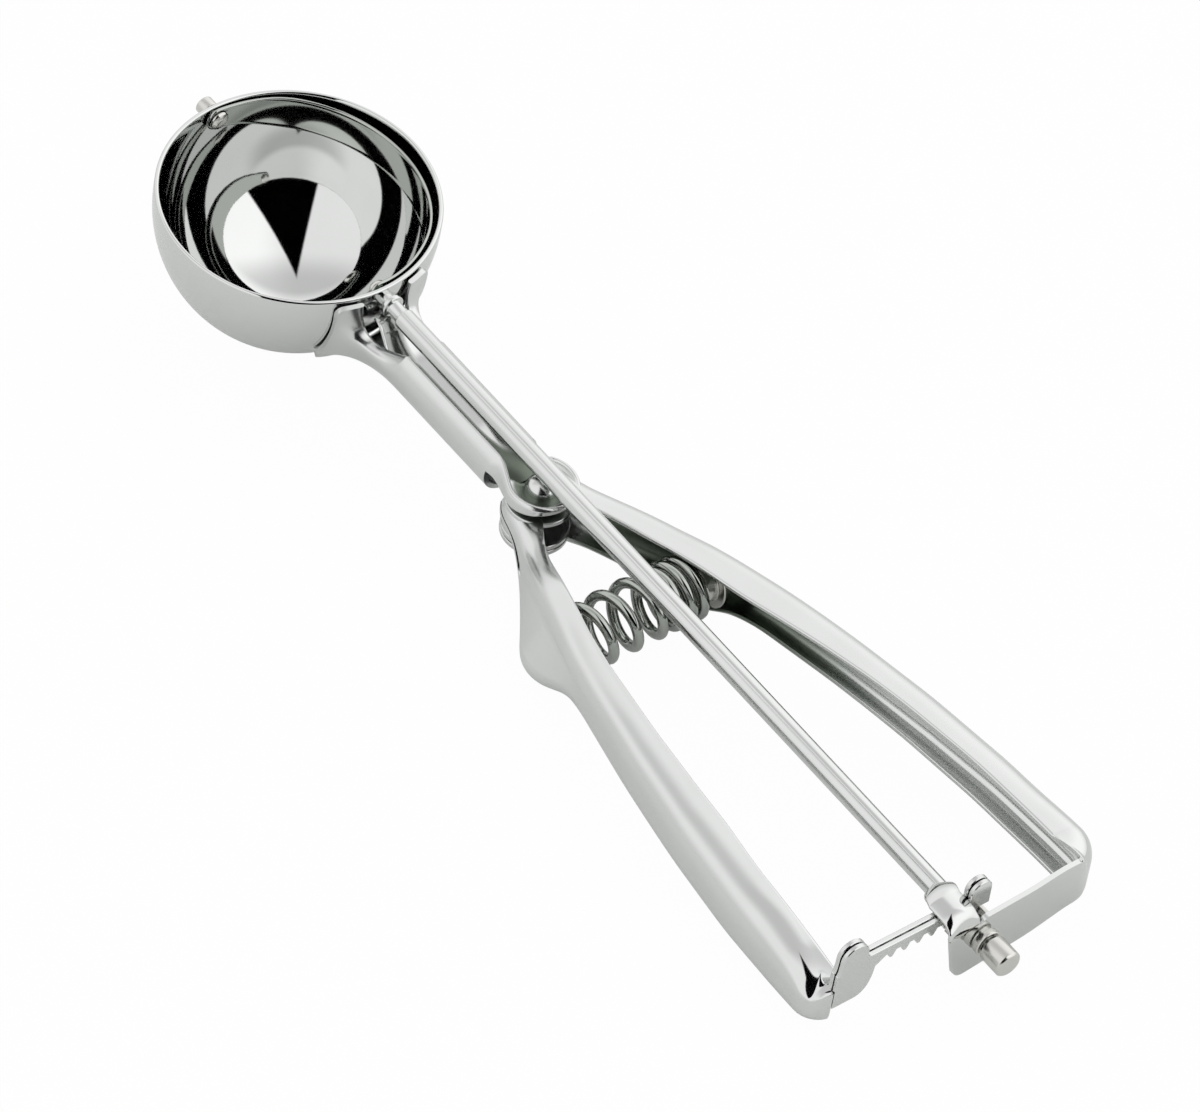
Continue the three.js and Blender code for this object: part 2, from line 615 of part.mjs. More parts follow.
// The left handle's end is cut back to the corner, where the two rack plates are welded in.
function makeLeftHandle() {
  const cut = block(rackBackX - GAP, HANDLE_END + SHEET, 0, GAP - RACK_LEFT, -BOWL_RADIUS, BOWL_RADIUS);
  return mirrored(makeChannel("left").subtract(cut));
}

// The right handle's arm crosses behind the grip to the spindle; its end plate folds over into the tongue.
function armOutline() {
  const outline = new THREE.Shape();
  const reach = OUTER_LINE.at(-1)[1] - HANDLE_CORNER.right;
  const right = TONGUE_LEFT + TONGUE_WIDTH;
  const footStart = TONGUE_LEFT + PLATE_STEP;
  outline.moveTo(reach, ARM_TOP - ARM_ROOT_DROP);
  outline.lineTo(right + PLATE_STEP, ARM_TOP + ARM_RISE);
  outline.lineTo(right, tongueUnder + GAP);
  outline.lineTo(TONGUE_LEFT, tongueUnder + GAP);
  outline.lineTo(TONGUE_LEFT + PLATE_TAPER, ARM_BOTTOM + FOOT_RADIUS);
  outline.quadraticCurveTo(footStart, ARM_BOTTOM, footStart + FOOT_RADIUS, ARM_BOTTOM);
  outline.lineTo(reach, ARM_BOTTOM + ARM_ROOT_LIFT);
  outline.closePath();
  return outline;
}

function armSlab() {
  const plan = new THREE.Shape();
  const reach = OUTER_LINE.at(-1)[1] - HANDLE_CORNER.right + SHEET;
  const at = (y) => plateX - ARM_SLANT * y;
  plan.moveTo(at(TONGUE_LEFT), TONGUE_LEFT);
  plan.lineTo(at(reach), reach);
  plan.lineTo(at(reach) - SHEET, reach);
  plan.lineTo(at(TONGUE_LEFT) - SHEET, TONGUE_LEFT);
  plan.closePath();
  return prismZ(plan, -BOWL_RADIUS, BOWL_RADIUS);
}

function tongue() {
  const back = plateX - ARM_SLANT * TONGUE_LEFT;
  const side = new THREE.Shape();
  side.moveTo(back, tongueUnder - SHEET);
  side.lineTo(back, TONGUE_TOP - TONGUE_FOLD);
  side.absarc(back - TONGUE_FOLD, TONGUE_TOP - TONGUE_FOLD, TONGUE_FOLD, 0, Math.PI / 2);
  side.lineTo(tongueBendX, TONGUE_TOP);
  side.quadraticCurveTo(tongueBendX - TONGUE_LEAN, TONGUE_TOP - TONGUE_SAG, tongueTipX, TONGUE_TIP_TOP);
  side.lineTo(tongueTipX, TONGUE_TIP_TOP - RACK_SHEET);
  side.quadraticCurveTo(tongueBendX - TONGUE_LEAN, tongueUnder - TONGUE_SAG, tongueBendX, tongueUnder);
  side.lineTo(back - TONGUE_FOLD, tongueUnder);
  side.lineTo(back - SHEET, tongueUnder - TONGUE_FOLD + SHEET);
  side.lineTo(back - SHEET, tongueUnder - SHEET);
  side.closePath();
  const plan = new THREE.Shape();
  const right = TONGUE_LEFT + TONGUE_WIDTH;
  const tipRadius = TONGUE_WIDTH / 2;
  const tipMiddle = TONGUE_LEFT + tipRadius + TONGUE_TIP_SHIFT;
  plan.moveTo(back + SHEET, TONGUE_LEFT);
  plan.lineTo(back + SHEET, right);
  plan.lineTo(tongueBendX, right);
  plan.lineTo(tongueTipX + tipRadius, tipMiddle + tipRadius);
  plan.absarc(tongueTipX + tipRadius, tipMiddle, tipRadius, Math.PI / 2, 1.5 * Math.PI);
  plan.lineTo(tongueBendX, TONGUE_LEFT);
  plan.closePath();
  const bent = prismY(side, TONGUE_LEFT - BOWL_RADIUS, BOWL_RADIUS);
  return bent.intersect(prismZ(plan, -BOWL_RADIUS, BOWL_RADIUS));
}

function makeRightHandle() {
  const arm = armSlab().intersect(prismX(armOutline(), PIVOT_X, 2 * plateX));
  const spindleHole = cylinderX(NECK_RADIUS + 2 * GAP + SHEET / 2, PIVOT_X, 2 * plateX);
  return makeChannel("right").add(arm.subtract(spindleHole)).add(tongue());
}

function makePivotRivet() {
  const under = DISH_FLOOR + GAP;
  const tail = washerTop - SHEET - GAP;
  const dome = Array.from({ length: DOME_STEPS }, (_, i) => (i / DOME_STEPS) * (Math.PI / 2)).map((a) => [
    under + HEAD_HEIGHT * Math.sin(a),
    HEAD_RADIUS * Math.cos(a),
  ]);
  return turnedZ(
    [
      [tail - SHEET, 0],
      [tail - SHEET, TAIL_RADIUS],
      [tail, TAIL_FACE_RADIUS],
      [tail, PIVOT_RADIUS],
      [under, PIVOT_RADIUS],
      ...dome,
      [under + HEAD_HEIGHT, 0],
    ],
    PIVOT_X,
    0,
    ROUND_SIDES,
  );
}

function makePivotWasher() {
  const ring = cylinderZ(HEAD_RADIUS + SHEET, washerTop - SHEET, washerTop, PIVOT_X, 0);
  return ring.subtract(cylinderZ(PIVOT_RADIUS + GAP, -2 * BOWL_RADIUS, BOWL_RADIUS, PIVOT_X, 0));
}

function makeRearBush() {
  const bore = NECK_RADIUS + GAP;
  const spigot = bore + SHEET / 2 - GAP / 2;
  const front = plateX - SHEET - ARM_SLANT * BUSH_COLLAR_RADIUS;
  return turnedX([
    [front, bore],
    [front, spigot],
    [bushFace, spigot],
    [bushFace, BUSH_COLLAR_RADIUS],
    [bushFace + BUSH_COLLAR_LENGTH, BUSH_COLLAR_RADIUS],
    [bushFace + BUSH_COLLAR_LENGTH, bore],
    [front, bore],
  ]);
}

function makeKnob() {
  const bore = NECK_RADIUS + GAP;
  const end = knobStart + KNOB_LENGTH;
  return turnedX([
    [knobStart, bore],
    [knobStart, KNOB_RADIUS],
    [end - KNOB_BEVEL, KNOB_RADIUS],
    [end, KNOB_RADIUS - KNOB_BEVEL],
    [end, 0],
    [rodEnd + GAP, 0],
    [rodEnd + GAP, bore],
    [knobStart, bore],
  ], 2 * ROUND_SIDES);
}

// Each spring seat fills the channel behind a round face that is square to the spring, with a stud inside it.
function makeSpringSeat(side) {
  const radius = SPRING_RADIUS + WIRE_RADIUS - GAP;
  const stud = SPRING_RADIUS - WIRE_RADIUS - GAP;
  const face = SEAT_FACE[side];
  const profile = [
    new THREE.Vector2(0, face - STUD_LENGTH),
    new THREE.Vector2(stud, face - STUD_LENGTH),
    new THREE.Vector2(stud, face),
    new THREE.Vector2(radius, face),
    new THREE.Vector2(radius, face + 2 * BOWL_RADIUS),
    new THREE.Vector2(0, face + 2 * BOWL_RADIUS),
  ];
  const plug = solid(new THREE.LatheGeometry(profile, ROUND_SIDES).translate(SPRING_X, 0, SPRING_Z));
  const front = block(SPRING_X - radius, SPRING_X + radius, 0, face, SPRING_Z - radius, SPRING_Z + radius);
  const seat = plug.intersect(handleBlock(side, SHEET + SEAT_PLAY).add(front));
  return side === "right" ? seat : mirrored(seat);
}

// The spring winds about Y: open turns on the left, closer turns on the right. Its ends run straight on to
// the seats.
function springLine() {
  const left = GAP - SEAT_FACE.left;
  const right = SEAT_FACE.right - GAP;
  const straight = 2 * WIRE_RADIUS;
  const lead = 2 * straight;
  const swing = 0.5 / STEPS_PER_TURN;
  const closeLength = CLOSE_TURNS * CLOSE_PITCH;
  const openPitch = (right - left - 2 * lead - closeLength) / OPEN_TURNS;
  const total = OPEN_TURNS + CLOSE_TURNS;
  const at = (turn, y) => {
    const angle = 2 * Math.PI * turn;
    return new THREE.Vector3(
      SPRING_X + SPRING_RADIUS * Math.cos(angle), y, SPRING_Z + SPRING_RADIUS * Math.sin(angle));
  };
  const points = [at(-swing, left), at(-swing, left + straight)];
  for (let i = 0; i <= total * STEPS_PER_TURN; i += 1) {
    const turn = i / STEPS_PER_TURN;
    const open = Math.min(turn, OPEN_TURNS);
    points.push(at(turn, left + lead + open * openPitch + (turn - open) * CLOSE_PITCH));
  }
  points.push(at(total + swing, right - straight), at(total + swing, right));
  return new THREE.CatmullRomCurve3(points);
}

// The least distance between stretches of wire that lie half a turn or more apart, less the wire itself.
function leastGap(line) {
  const points = line.getSpacedPoints(STEPS_PER_TURN * line.points.length);
  const apart = Math.round((Math.PI * SPRING_RADIUS) / points[0].distanceTo(points[1]));
  let least = Infinity;
  points.forEach((p, i) => points.slice(i + apart).forEach((q) => {
    least = Math.min(least, p.distanceTo(q));
  }));
  return least - 2 * WIRE_RADIUS;
}

function makeSpring() {
  const wire = new THREE.Shape().absarc(0, 0, WIRE_RADIUS, 0, 2 * Math.PI);
  const section = new THREE.Shape(wire.getPoints(WIRE_SIDES).slice(0, WIRE_SIDES));
  const line = springLine();
  console.log(`spring: least gap to itself ${leastGap(line).toFixed(2)} mm`);
  const steps = line.points.length - 1;
  return solid(new THREE.ExtrudeGeometry(section, { steps, extrudePath: line, bevelEnabled: false }));
}

// Assembly
const tool = new THREE.Group();

function add(name, body, look) {
  const mesh = new THREE.Mesh(geometryOf(body), new THREE.MeshStandardMaterial(look));
  mesh.name = name;
  tool.add(mesh);
}

add("bowl", makeBowl(), STEEL);
add("shank", makeShank(), STEEL);
add("wiper_blade", makeWiper(), STEEL);
add("wiper_pin", makeWiperPin(), SATIN);
add("wiper_rivet", makeWiperRivet(), SATIN);
add("spindle_rod", makeRod(), STEEL);
add("pinion", makePinion(), SATIN);
add("rear_bush", makeRearBush(), SATIN);
add("knob", makeKnob(), SATIN);
add("right_handle", makeRightHandle(), STEEL);
add("left_handle", makeLeftHandle(), STEEL);
add("rack_front", makeRackPlate(true), STEEL);
add("rack_back", makeRackPlate(false), STEEL);
add("pivot_rivet", makePivotRivet(), STEEL);
add("pivot_washer", makePivotWasher(), SATIN);
add("spring_seat_right", makeSpringSeat("right"), SATIN);
add("spring_seat_left", makeSpringSeat("left"), SATIN);
add("spring", makeSpring(), WIRE);

// The tool lies on the bowl's bottom and on the rear ends of both handles.
const restX = HANDLE_END;
const restDrop = -handleLines("left").bottom(restX);
const tilt = Math.asin(BOWL_DEPTH / Math.hypot(restX, restDrop)) - Math.atan2(restDrop, restX);
const scoop = new THREE.Group();
tool.rotation.y = tilt;
scoop.add(tool);
const box = new THREE.Box3().setFromObject(scoop, true);
const middle = box.getCenter(new THREE.Vector3());
tool.position.set(-middle.x, -middle.y, -box.min.z);

export default scoop;
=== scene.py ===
# %% [markdown]
# A portion scoop in polished steel
#
# The scoop is a bowl on a slotted shank, with two sprung handles. Squeezing the handles turns a rod through
# a rack and a small toothed wheel, and the rod sweeps a blade round the bowl. Its looks are all in curved
# sheet metal and mirror reflections, so this lesson works each surface out with numpy and lights it in a
# plain white studio.

# %% The packed model
import json

import bmesh
import bpy
import numpy as np
from mathutils import Matrix


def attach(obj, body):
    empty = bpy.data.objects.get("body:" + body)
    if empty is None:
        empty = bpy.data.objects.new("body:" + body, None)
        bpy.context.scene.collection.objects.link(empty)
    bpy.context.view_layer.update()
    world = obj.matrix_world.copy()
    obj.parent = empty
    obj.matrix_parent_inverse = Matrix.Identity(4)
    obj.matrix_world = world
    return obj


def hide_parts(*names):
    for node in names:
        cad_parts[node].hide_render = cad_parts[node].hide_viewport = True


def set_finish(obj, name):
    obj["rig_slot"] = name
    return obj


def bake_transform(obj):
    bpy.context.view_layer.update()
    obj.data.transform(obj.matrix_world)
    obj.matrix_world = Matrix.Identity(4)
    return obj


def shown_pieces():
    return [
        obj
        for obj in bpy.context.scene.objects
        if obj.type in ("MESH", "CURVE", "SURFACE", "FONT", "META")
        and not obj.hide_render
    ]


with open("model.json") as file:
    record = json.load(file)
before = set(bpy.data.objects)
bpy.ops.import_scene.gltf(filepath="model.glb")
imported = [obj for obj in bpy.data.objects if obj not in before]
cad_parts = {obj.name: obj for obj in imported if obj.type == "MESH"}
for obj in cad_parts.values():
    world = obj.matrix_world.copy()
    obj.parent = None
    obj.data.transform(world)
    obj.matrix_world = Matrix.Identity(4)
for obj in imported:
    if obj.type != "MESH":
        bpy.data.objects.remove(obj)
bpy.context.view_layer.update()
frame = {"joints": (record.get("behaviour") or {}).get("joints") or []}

scene = bpy.context.scene

# %% [markdown]
# The scoop's own frame
#
# The scoop lies tilted on its bowl and its grips, so its own axes aren't the room's. Every shape below is
# drawn in millimetres in the scoop's frame: X along the rod from the bowl to the grips, Y towards the fixed
# right handle and Z out of the bowl's mouth, from the centre of the bowl. The two hinges of the model give
# that frame exactly.

# %% From the scoop's frame to the room
hinges = {joint["name"]: joint for joint in frame["joints"]}
origin = np.array(hinges["spindle_turn"]["pos_m"])
along = np.array(hinges["spindle_turn"]["axis"])
upward = np.array(hinges["handle_squeeze"]["axis"])
scoop_axes = np.stack([along, np.cross(upward, along), upward])


def room(points):
    """The scoop's millimetres as the room's metres: origin + x * X + y * Y + z * Z."""
    return origin + np.asarray(points, float) @ scoop_axes / 1000


def scoop(points):
    """The room's metres as the scoop's millimetres, the way back."""
    return (np.asarray(points, float) - origin) @ scoop_axes.T * 1000


print("bowl centre in the room:", room([0, 0, 0]).round(4))

# %% [markdown]
# Grids and pieces
#
# A grid of points is the one raw material here. A cell of the grid becomes a face, rows or columns may close
# round on themselves, and where a row shrinks to a point its corners are merged, which closes the pole. A
# sheet gets its inner face along the grid's own normals, and half circles round off its lips, because
# polishing rounds a cut edge.


# %% Grids
def xyz(x, y, z):
    """Coordinates of fitting shapes as one array of points."""
    return np.stack(np.broadcast_arrays(x, y, z), -1)


def unit(vectors):
    """Vectors at length one; those of no length stay as they are."""
    return vectors / np.maximum(np.linalg.norm(vectors, axis=-1, keepdims=True), 1e-9)


def cells(rows, columns, round_rows=False, round_columns=False):
    """The four corner numbers of each cell of a rows x columns grid."""
    r, c = np.meshgrid(np.arange(rows - (not round_rows)), np.arange(columns - (not round_columns)),
                       indexing="ij")
    r2, c2 = (r + 1) % rows, (c + 1) % columns
    return np.stack([r * columns + c, r * columns + c2,
                     r2 * columns + c2, r2 * columns + c], -1).reshape(-1, 4)


def gathered(*parts):
    """Several (points, faces) pairs as one pair, with the faces' numbers moved on."""
    points = [np.reshape(part_points, (-1, 3)) for part_points, _ in parts]
    starts = np.cumsum([0] + [len(part) for part in points])
    return np.concatenate(points), np.concatenate([faces + start for (_, faces), start in zip(parts, starts)])


print("a grid of 3 x 4 points has", len(cells(3, 4)), "cells")


# %% Sheets with round lips
def thick(grid, sheet, facing=None, normals=None, round_rows=False):
    """A sheet with round lips from a grid of its outer face: the inner face is grid - sheet * N, with N
    across both grid directions, and half circles join the two faces at the first and last column. The first
    and last row are closed by a flat strip, unless the rows run round."""
    if normals is None:
        ahead = np.roll(grid, -1, 0) - np.roll(grid, 1, 0) if round_rows else np.gradient(grid, axis=0)
        normals = np.cross(ahead, np.gradient(grid, axis=1))
    normals = unit(normals)
    if facing is not None and np.sum(normals * facing) < 0:
        normals = -normals
    inner = grid - sheet * normals
    a = np.linspace(0, np.pi, 9)[1:-1][:, None, None]

    def lip(column, toward):
        out = grid[:, column] - grid[:, toward]
        out = unit(out - np.sum(out * normals[:, column], 1, keepdims=True) * normals[:, column])
        middle = (grid[:, column] + inner[:, column]) / 2
        return np.swapaxes(middle + sheet / 2 * (np.cos(a) * normals[:, column] + np.sin(a) * out), 0, 1)

    last = lip(-1, -2)
    first = lip(0, 1)[:, ::-1]
    half = first.shape[1] // 2
    ring = np.concatenate([first[:, half:], grid, last, inner[:, ::-1], first[:, :half]], 1)
    rows, count = ring.shape[:2]
    faces = cells(rows, count, round_rows, True)
    if not round_rows:
        i = np.arange(count // 2 - 1)
        strip = np.stack([i, i + 1, count - 2 - i, count - 1 - i], -1)
        faces = np.r_[faces, strip, strip + (rows - 1) * count]
    return ring, faces


flat = xyz(np.arange(3.0)[:, None], np.arange(4.0), 0)
print("a sheet on 3 x 4 points has", len(thick(flat, 0.1)[1]), "faces")


# %% Meshes and pieces
def new_mesh(name, points, faces):
    """A closed mesh in the room's metres, with its doubles merged and its faces turned outward."""
    mesh = bpy.data.meshes.new(name)
    mesh.from_pydata(room(points).reshape(-1, 3).tolist(), [], [tuple(map(int, face)) for face in faces])
    grown = bmesh.new()
    grown.from_mesh(mesh)
    bmesh.ops.remove_doubles(grown, verts=grown.verts, dist=1e-6)
    bmesh.ops.dissolve_degenerate(grown, edges=grown.edges, dist=1e-7)
    bmesh.ops.recalc_face_normals(grown, faces=grown.faces)
    grown.to_mesh(mesh)
    grown.free()
    return mesh


def new_object(name, data):
    """An object in the scene for a mesh or a camera."""
    made = bpy.data.objects.new(name, data)
    scene.collection.objects.link(made)
    return made


def new_piece(name, shape, nodes, body="frame", slot="polished", crease=38, soft_and_shade=1.0):
    """An object for a shape's points and faces: it is shaded smooth up to the crease angle, stands for its
    CAD nodes and rides on its body. Its point attribute says how far its polish falls short of a mirror, and
    past 1 how much dark grey-green is painted on as shade; it may be a function of points and normals in the
    scoop's frame."""
    mesh = new_mesh(name, *shape)
    piece = new_object(name, mesh)
    mesh.polygons.foreach_set("use_smooth", np.ones(len(mesh.polygons), bool))
    mesh.set_sharp_from_angle(angle=np.radians(crease))
    places, normals = np.zeros((2, 3 * len(mesh.vertices)))
    mesh.vertices.foreach_get("co", places)
    mesh.vertex_normals.foreach_get("vector", normals)
    values = np.empty(len(mesh.vertices))
    values[:] = (soft_and_shade(scoop(places.reshape(-1, 3)), normals.reshape(-1, 3) @ scoop_axes.T)
                 if callable(soft_and_shade) else soft_and_shade)
    # Up to 1 these values only roughen the steel; past 1 they paint a dark grey-green on as shade.
    mesh.attributes.new("soft_and_shade", "FLOAT", "POINT").data.foreach_set("value", values)
    if body:
        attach(piece, body)
    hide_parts(*nodes)
    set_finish(piece, slot)
    print(f"{name}: {len(mesh.polygons)} faces")
    return piece


# %% Turned shapes
def bend(start, corner, end, count=14):
    """A quadratic curve from start to end that leans towards corner."""
    t = np.linspace(0, 1, count)[:, None]
    return (1 - t) ** 2 * np.array(start) + 2 * t * (1 - t) * np.array(corner) + t ** 2 * np.array(end)


def eased(profile, radius, steps=5):
    """A polyline with each inner corner replaced by a small bend that starts radius before the corner, or a
    third of the shorter side where that is less."""
    profile = np.asarray(profile, float)
    corner = profile[1:-1]
    sides = np.stack([profile[:-2] - corner, profile[2:] - corner])
    cut = np.minimum(radius, np.linalg.norm(sides, axis=-1, keepdims=True).min(0) / 3)
    start, end = corner + unit(sides) * cut
    bends = bend(start[:, None], corner[:, None], end[:, None], steps)
    return np.r_[profile[:1], bends.reshape(-1, 2), profile[-1:]]


def turned(profile, axis="x", centre=(0, 0, 0), sides=96, ring=False):
    """A lathe: each [along, radius] point becomes a ring, along * A + radius * (cos t * B + sin t * C)."""
    length, radius = np.asarray(profile, float).T[..., None]
    t = np.linspace(0, 2 * np.pi, sides, endpoint=False)
    points = np.roll(xyz(length, radius * np.cos(t), radius * np.sin(t)), "xyz".index(axis), -1)
    return points + np.asarray(centre, float), cells(len(profile), sides, ring, True)


print("an eased corner has", len(eased([[0, 0], [1, 0], [1, 1]], 0.2)), "points")


# %% Smooth lines
def softened(values, spread):
    """Samples on an even line, averaged with a bell curve of that spread in samples; the ends run on
    straight. The columns of a table go one by one."""
    values = np.asarray(values, float)
    if values.ndim == 2:
        return np.stack([softened(column, spread) for column in values.T], -1)
    reach = int(4 * spread) + 1
    bell = np.exp(-0.5 * (np.arange(-reach, reach + 1) / spread) ** 2)
    steps = np.arange(1, reach + 1)
    head = values[0] - (values[1] - values[0]) * steps[::-1]
    tail = values[-1] + (values[-1] - values[-2]) * steps
    return np.convolve(np.r_[head, values, tail], bell / bell.sum(), "valid")


def smooth_line(stations, spread=2.0):
    """A function x -> value through [x, value] stations, its corners averaged over spread millimetres."""
    xs, values = np.array(stations, float).T
    fine = np.arange(xs[0] - 20, xs[-1] + 20, 0.25)
    line = softened(np.interp(fine, xs, values), spread / 0.25)
    return lambda x: np.interp(x, fine, line)


def evenly(path, count=None, pitch=0.4):
    """Points at even lengths along a polyline: count of them, or one for each pitch of its length."""
    length = np.r_[0, np.cumsum(np.linalg.norm(np.diff(path, axis=0), axis=1))]
    even = np.linspace(0, length[-1], count or int(length[-1] / pitch))
    return np.stack([np.interp(even, length, column) for column in path.T], -1)


def step(value, low, high):
    """The smooth step from 0 at low to 1 at high."""
    t = np.clip((np.asarray(value, float) - low) / (high - low), 0, 1)
    return t * t * (3 - 2 * t)


print("a quarter of the way, the smooth step is at", step(0.25, 0, 1))

# %% [markdown]
# Bowl
#
# The bowl is spun from one disc of steel over a half-round form, and its rim is trimmed straight. Spinning
# is turning, so the bowl is a lathe: an ellipse outside, a short straight band, a round lip, and the same
# line inside. The two bearing holes aren't cut in this sheet, as the rod, the far pin and their heads fill
# and hide them.

# %% Bowl
BOWL_RADIUS, BOWL_DEPTH, BOWL_WALL, RIM = 26.0, 27.2, 0.9, 2.35


def bowl_line():
    """[height, radius]: the outer ellipse up to the band, half a circle at the lip, the inner ellipse."""
    t = np.linspace(-np.pi / 2, 0, 80)
    lip = np.linspace(0, np.pi, 12)
    half = BOWL_WALL / 2
    outer = np.c_[BOWL_DEPTH * np.sin(t), BOWL_RADIUS * np.cos(t)]
    round_lip = np.c_[RIM - half + half * np.sin(lip), BOWL_RADIUS - half + half * np.cos(lip)]
    inner = np.c_[(BOWL_DEPTH - BOWL_WALL) * np.sin(t), (BOWL_RADIUS - BOWL_WALL) * np.cos(t)][::-1]
    line = np.r_[outer, round_lip, inner]
    line[[0, -1], 1] = 0
    return line


new_piece("bowl_shell", turned(bowl_line(), "z", sides=224), ["bowl"], crease=60, soft_and_shade=0.0)

# %% [markdown]
# Wiper blade and its two pins
#
# The blade is a strip of thin spring steel that lies against the bowl and turns with the rod. On the real
# scoop it is blanked flat and bent. Here it is a band on a sphere: one parameter runs from the far pin round
# to the rod, the other across the strip, whose width grows from the round ends. The strip stands off the
# wall a little in its middle.

# %% Wiper blade
WIPER_RADIUS, WIPER_SHEET, WIPER_END, WIPER_HALF = 24.7, 0.6, 2.2, 3.4
WIPER_DIP, WIPER_GAP = np.radians(7), 0.8


def wiper_band(rows=180, columns=13):
    """radius * (-cos(turn) * cos(slope) * X + sin(turn) * cos(slope) * side + sin(slope) * lift), with slope
    within the half width at that turn, which is a circle's past the pins and smooth in between. The radius
    draws in by gap * sin(turn)^2."""
    ends = WIPER_END / WIPER_RADIUS * np.sin(np.linspace(0, np.pi / 2, 12))[1:]
    turn = np.r_[-ends[::-1], np.linspace(0, np.pi, rows), np.pi + ends]
    past = np.maximum(np.maximum(-turn, turn - np.pi), 0) * WIPER_RADIUS
    spread = step(np.minimum(turn, np.pi - turn), 0, np.pi / 5)
    wide = WIPER_END + (WIPER_HALF - WIPER_END) * spread
    half = np.where(past > 0, np.sqrt(np.maximum(WIPER_END ** 2 - past ** 2, 0)), wide) / WIPER_RADIUS
    slope = half[:, None] * np.linspace(-1, 1, columns)
    side = np.array([0, np.cos(WIPER_DIP), -np.sin(WIPER_DIP)])
    lift = np.array([0, np.sin(WIPER_DIP), np.cos(WIPER_DIP)])
    middle = -np.cos(turn)[:, None] * [1.0, 0, 0] + np.sin(turn)[:, None] * side
    points = np.cos(slope)[..., None] * middle[:, None] + np.sin(slope)[..., None] * lift
    radius = WIPER_RADIUS - WIPER_GAP * np.sin(np.clip(turn, 0, np.pi)) ** 2
    return thick(radius[:, None, None] * points, WIPER_SHEET, normals=points)


wiper = new_piece("wiper_strip", wiper_band(), ["wiper_blade"], "spindle", soft_and_shade=0.2)

# %% Far pin and rivet head
HEAD, PIN_RADIUS, TENON = 2.0, 1.75, 1.1
pin_line = eased([[-28.65, 0], [-28.65, PIN_RADIUS - 0.2], [-28.45, PIN_RADIUS], [-26.3, PIN_RADIUS],
                  [-26.3, TENON], [-23.8, TENON], [-23.8, HEAD], [-23.35, 1.8], [-22.9, 1.0],
                  [-22.85, 0]], 0.3)
new_piece("far_pin", turned(pin_line, sides=64), ["wiper_pin"], "spindle", "satin")
rivet_line = eased([[22.6, 0], [22.65, 1.0], [23.2, 1.8], [23.8, HEAD], [24.05, HEAD - 0.2], [24.05, 0]], 0.3)
new_piece("rivet_head", turned(rivet_line, sides=64), ["wiper_rivet"], "spindle", "satin")

# %% [markdown]
# Rod, bush, knob and toothed wheel
#
# Three of these are lathe work on the real scoop too: a rod with two turned necks and a collar at the bowl,
# and at the other end a bush in the arm's plate and a stepped knob. Small quadratic curves ease the corners,
# because a real turned corner catches a thin line of light. The rod is rolled from strip, and its seam shows
# as one fine dark line: a shallow groove whose depth is a bell curve round one direction. The wheel is cut
# from bar, so it is an outline of seven teeth carried through its thickness.

# %% Rod
NECK, COLLAR, ROD, ROD_START, ROD_END = 1.5, 2.2, 2.0, 31.72, 192.05
SEAM, SEAM_WIDTH, SEAM_DEPTH = np.radians(111), np.radians(2.4), 0.1
rod_line = eased([[23.35, 0], [23.35, TENON], [25.0, TENON], [25.0, NECK], [27.72, NECK], [27.72, COLLAR],
                  [28.72, COLLAR], [28.72, NECK], [ROD_START, NECK], [ROD_START, ROD], [ROD_END, ROD],
                  [ROD_END, NECK], [203.4, NECK], [203.4, 0]], 0.28)
rod_points, rod_faces = turned(rod_line, sides=240)
x, y, z = np.moveaxis(rod_points, -1, 0)
seam = (np.exp(-((np.arctan2(z, y) - SEAM) / SEAM_WIDTH) ** 2)
        * ((x > ROD_START + 0.18) & (x < ROD_END - 0.15)))
rod_points[..., 1:] *= (1 - SEAM_DEPTH * seam)[..., None]
new_piece("turning_rod", (rod_points, rod_faces), ["spindle_rod"], "spindle", soft_and_shade=0.5)

# %% Bush and knob
bush_ring = eased([[197.25, 1.8], [197.25, 2.12], [198.86, 2.12], [198.86, 2.7], [200.26, 2.7], [200.26, 1.8],
                   [197.25, 1.8]], 0.22)[:-1]
new_piece("plate_bush", turned(bush_ring, sides=72, ring=True), ["rear_bush"], slot="satin")
knob_line = eased([[205.86, 0], [205.86, 2.25], [205.46, 2.65], [200.96, 2.65], [200.96, 1.8], [203.7, 1.8],
                   [203.7, 0]], 0.16)
new_piece("end_knob", turned(knob_line), ["knob"], "spindle", "satin")

# %% Toothed wheel
TOOTH, TEETH, TOOTH_TIP, TOOTH_ROOT, BACKLASH = 3.0, 7, 0.7, 0.8, 0.35
pitch_radius = TOOTH * TEETH / (2 * np.pi)


def plate(outline, start, end, bevel=0.12):
    """An outline of [y, z] points carried along X: the outline drawn in by the bevel, the full outline
    twice, and the drawn-in one again, closed by two flat faces. Drawing in moves each point along the mean
    of its sides' normals."""
    outline = np.asarray(outline, float)
    ahead = np.roll(outline, -1, 0) - outline
    normal = unit(np.c_[ahead[:, 1], -ahead[:, 0]])
    mean = unit(normal + np.roll(normal, 1, 0))
    y, z = outline.T
    turning = np.sign(np.sum(y * np.roll(z, -1) - np.roll(y, -1) * z))
    drawn_in = outline - turning * bevel * mean
    levels = [start, start + bevel, end - bevel, end]
    rings = [xyz(x, *ring.T) for x, ring in zip(levels, [drawn_in, outline, outline, drawn_in])]
    count = len(outline)
    return np.stack(rings), [*cells(4, count, False, True), range(count), range(3 * count, 4 * count)]


